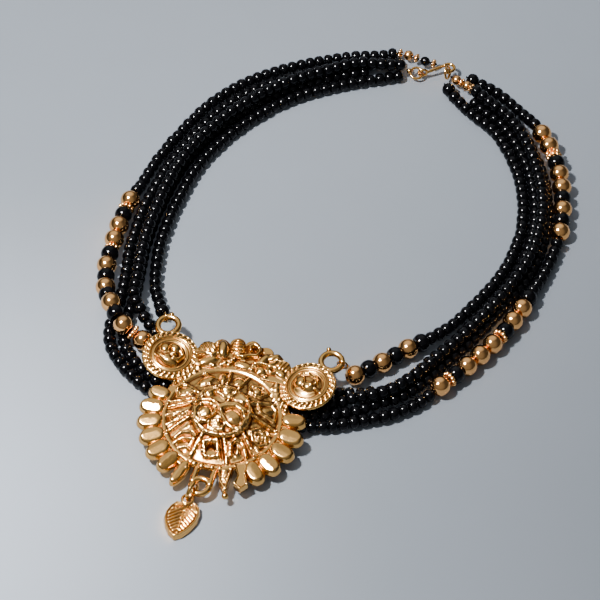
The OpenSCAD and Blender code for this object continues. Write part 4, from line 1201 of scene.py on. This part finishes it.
# Balls (x, y, z, across, mark): the finial's tip, and a row below the disc
balls = [
    (8.3, -24.5, 1.1, 1.9, 0.05), (-3, -16.8, 1.3, 2.4, 0.15), (-4.9, -18.7, 1.3, 2.2, 0.15),
    (-0.8, -17, 1.3, 2.2, 0.15), (2.2, -16.8, 1.3, 2, 0.15), (4.4, -16.4, 1.3, 1.8, 0.15),
]
for x, y, z, across, mark in balls:
    addBall(pendantPile, (x, y, z), across, onPendant, mark)

# Hanging loops beside the discs, each with its rod and ball, and the lower
# loop between two rods
loopSet = {
    "at": (24.7, 27.2), "z": 0.85, "r": 3.05, "wire": 1.85, "sides": 64, "rod": 1.9,
    "rodFrom": 6.9, "ball": 1.5,
    "ballAside": {-1: 0.0, 1: -1.8},  # by side
    "ballUp": (3.6, 0.5), "lowerAt": (0.6, -23.1, 0.9), "lowerR": 2.5, "lowerRod": 1.85,
    "lowerRodTop": -16.4,
}
for side in (-1, 1):
    loop = np.array([side * loopSet["at"][0], loopSet["at"][1], loopSet["z"]])
    disc = np.array([side * pendantSet["sideAt"][0], pendantSet["sideAt"][1], loopSet["z"]])
    way = unit(loop - disc)
    wireRing(pendantPile, loop, loopSet["r"], loopSet["wire"], onPendant, loopSet["sides"])
    rodStart, rodEnd = disc + way * loopSet["rodFrom"], loop - way * loopSet["r"]
    addRod(pendantPile, rodStart, rodEnd, loopSet["rod"], onPendant)
    ball = loop + [loopSet["ballAside"][side], *loopSet["ballUp"]]
    addBall(pendantPile, ball, loopSet["ball"], onPendant, smallSet["mark"])
lower = np.array(loopSet["lowerAt"])
wireRing(pendantPile, lower, loopSet["lowerR"], loopSet["wire"], onPendant, loopSet["sides"])
for side in (-1, 1):
    foot = lower + [side * loopSet["lowerR"], 0.0, 0.0]
    head = np.array([foot[0], loopSet["lowerRodTop"], foot[2]])
    addRod(pendantPile, foot, head, loopSet["lowerRod"], onPendant)
pendantPile.piece("pendant_cast", castGold, "pendant_gold", "pendant")

# Leaf drop lying on the floor: rim, midrib, slanting veins, a folded top
leafMiddle = (-1.9, -33.6)
leafOutline = [
    (-0.8, -27.9), (-2.7, -28.3), (-4.6, -28.6), (-5.8, -30.4), (-6.5, -32.6), (-6.4, -34.9), (-5.3, -37.3),
    (-3.7, -39.3), (-1.6, -40.6), (0.3, -39.2), (1.9, -36.8), (3, -33.9), (3.1, -31.2),
    (2.4, -29), (0.9, -27.9),
]
leafSet = {
    "base": 1.35, "swell": 0.35, "swellOver": 3.0,
    "midrib": {"at": -1.6, "from": -28.0, "slant": 0.05, "half": 0.3, "height": 0.6},
    "rim": {"inset": 0.45, "half": 0.5, "height": 0.65},
    "veins": {"pitch": 1.25, "slant": 0.75, "height": 0.5, "inset": 0.9, "insetOver": 0.3},
    "veinTop": {"x": -2.0, "y": -29.8, "slant": 0.4, "over": 0.5},
    "fold": {"half": 0.45, "height": 0.55},
    "foldLine": [(-5.6, -30.2), (-2.4, -29.3), (0.2, -28.9), (2.8, -31.6)],
    "dots": {"half": 0.4, "height": 0.35, "pace": 8},
    "dotLine": [(-5.4, -31.3), (-2.4, -30.3)],
    "eye": (-1.57, -27.8, 2.4), "eyeR": 1.5, "eyeWire": 0.9, "eyeSides": 48,
    "stem": [(-1.57, -29.3, 2.4), (-1.57, -30.7, 0.95)],
    "stemWire": 1.5,
}


# Leaf: a level that swells inward, with the highest of slanting veins (a
# cosine along y and away from the midrib, kept off the rim and the top), the
# midrib, the rim, the fold and a dotted line on it
def leafHeight(x, y):
    midrib, rim, veins = leafSet["midrib"], leafSet["rim"], leafSet["veins"]
    veinTop, fold, dots = leafSet["veinTop"], leafSet["fold"], leafSet["dots"]
    aside = np.abs(x - (midrib["at"] - midrib["slant"] * (y - midrib["from"])))
    edge = fromLine(x, y, leafOutline, True)
    wave = np.cos((y + veins["slant"] * aside) / veins["pitch"] * 2 * math.pi)
    offRim = np.clip((edge - veins["inset"]) / veins["insetOver"], 0, 1)
    below = veinTop["y"] - y + veinTop["slant"] * (x - veinTop["x"])
    offTop = np.clip(below / veinTop["over"], 0, 1)
    dotted = dots["height"] * crown(fromLine(x, y, leafSet["dotLine"]), dots["half"])
    figures = [
        veins["height"] * np.sqrt(0.5 + 0.5 * wave) * (offRim * offTop),
        midrib["height"] * crown(aside, midrib["half"]),
        rim["height"] * crown(edge - rim["inset"], rim["half"]),
        fold["height"] * crown(fromLine(x, y, leafSet["foldLine"]), fold["half"]),
        dotted * (np.cos(x * dots["pace"]) > 0),
    ]
    swell = leafSet["swell"] * np.clip(edge / leafSet["swellOver"], 0, 1)
    return leafSet["base"] + swell + np.max(figures, axis=0)


leafPile = Pile()
leafReach = outlineReach(leafMiddle, leafOutline)
castPlate(leafPile, leafMiddle, leafReach, leafHeight, onFloor, **plates["leaf"])
wireRing(leafPile, leafSet["eye"], leafSet["eyeR"], leafSet["eyeWire"], onFloor, leafSet["eyeSides"])
addRod(leafPile, *leafSet["stem"], leafSet["stemWire"], onFloor)
leafPile.piece("leaf_cast", castGold, "leaf_gold", "leaf_drop")
print("pendant and leaf cast")

# Floor and light: a pale matt sheet with a pool of light painted at the lower left and painted shade at the
# lower right, one small soft lamp near on the left with a second that only shines in reflections, and a dim
# dome with two bright patches
studio = {
    "floorSize": 6.0,
    "floorDrop": 0.0002,
    "floorDark": (0.353, 0.391, 0.443, 1),
    "floorPale": (0.367, 0.407, 0.461, 1),
    "grainScale": 60.0,
    "floorRough": 0.9,
    # Painted light: a brighter pool of light painted onto the floor at the lower left, and painted shade at
    # the lower right
    "paintedPool": {"at": (-0.13, -0.095, 0.0), "reach": 0.15, "colour": (0.69, 0.76, 0.86, 1)},
    "paintedShade": {"at": (0.17, -0.10, 0.0), "reach": 0.28, "colour": (0.209, 0.231, 0.262, 1)},
    "lampAt": (-0.27, -0.09, 0.56),
    "lampAcross": 0.05,
    "lampPower": 5.6,
    "sparkleAcross": 0.14,
    "sparklePower": 26.0,
    "domeColour": (0.93, 0.96, 1.0, 1),
    "domeLow": 0.07,
    "back": {"toward": (-0.1, 0.62, 0.78), "from": 0.7, "to": 0.99, "more": 0.8},
    "front": {"toward": (-0.15, -0.62, 0.77), "from": 0.3, "to": 1.0, "more": 0.2},
}
floorMaterial, floorFinish = newFinish("floor paper")
floorGrain = floorFinish.noise(floorFinish.place(), studio["grainScale"])
floorColour = floorFinish.blend(floorGrain, studio["floorDark"], studio["floorPale"])
# Blend the painted pool of light and the painted shade into the floor colour, fading with distance from
# their middles
for patch in ("paintedPool", "paintedShade"):
    looks = studio[patch]
    distance = floorFinish.vectors("DISTANCE", floorFinish.place(), looks["at"])
    share = 1.0 - distance.between(0.0, looks["reach"])
    floorColour = floorFinish.blend(share, floorColour, looks["colour"])
floorFinish.surface(
    {"Base Color": floorColour, "Roughness": studio["floorRough"], "Specular IOR Level": 0.0}
)
half = studio["floorSize"] / 2
floorMesh = bpy.data.meshes.new("floor")
corners = [(-half, -half), (half, -half), (half, half), (-half, half)]
floorMesh.from_pydata([(x, y, -studio["floorDrop"]) for x, y in corners], [], [(0, 1, 2, 3)])
floorMesh.materials.append(floorMaterial)
floor = bpy.data.objects.new("floor", floorMesh)
bpy.context.scene.collection.objects.link(floor)


# A round lamp that faces the middle of the floor
def addLamp(name, across, power):
    lamp = bpy.data.objects.new(name, bpy.data.lights.new(name, "AREA"))
    bpy.context.scene.collection.objects.link(lamp)
    lamp.data.shape = "DISK"
    lamp.data.size = across
    lamp.data.energy = power
    lamp.location = studio["lampAt"]
    aim = Vector(studio["lampAt"]) * -1.0
    lamp.rotation_euler = aim.to_track_quat("-Z", "Y").to_euler()
    return lamp


addLamp("lamp", studio["lampAcross"], studio["lampPower"])
sparkle = addLamp("sparkle", studio["sparkleAcross"], studio["sparklePower"])
sparkle.visible_diffuse = False

dome = bpy.data.worlds.new("dome")
bpy.context.scene.world = dome
dome.use_nodes = True
domeFinish = Finish(dome.node_tree)
aimed = domeFinish.add("ShaderNodeTexCoord").outputs["Generated"]
strength = studio["domeLow"]
for patch in ("back", "front"):
    looks = studio[patch]
    toward = domeFinish.vectors("DOT_PRODUCT", aimed, looks["toward"])
    strength = toward.between(looks["from"], looks["to"]) * looks["more"] + strength
glow = {"Color": studio["domeColour"], "Strength": strength}
sky = domeFinish.add("ShaderNodeBackground", None, glow)
domeFinish.add("ShaderNodeOutputWorld", None, {"Surface": sky.outputs[0]})
print("studio lit")
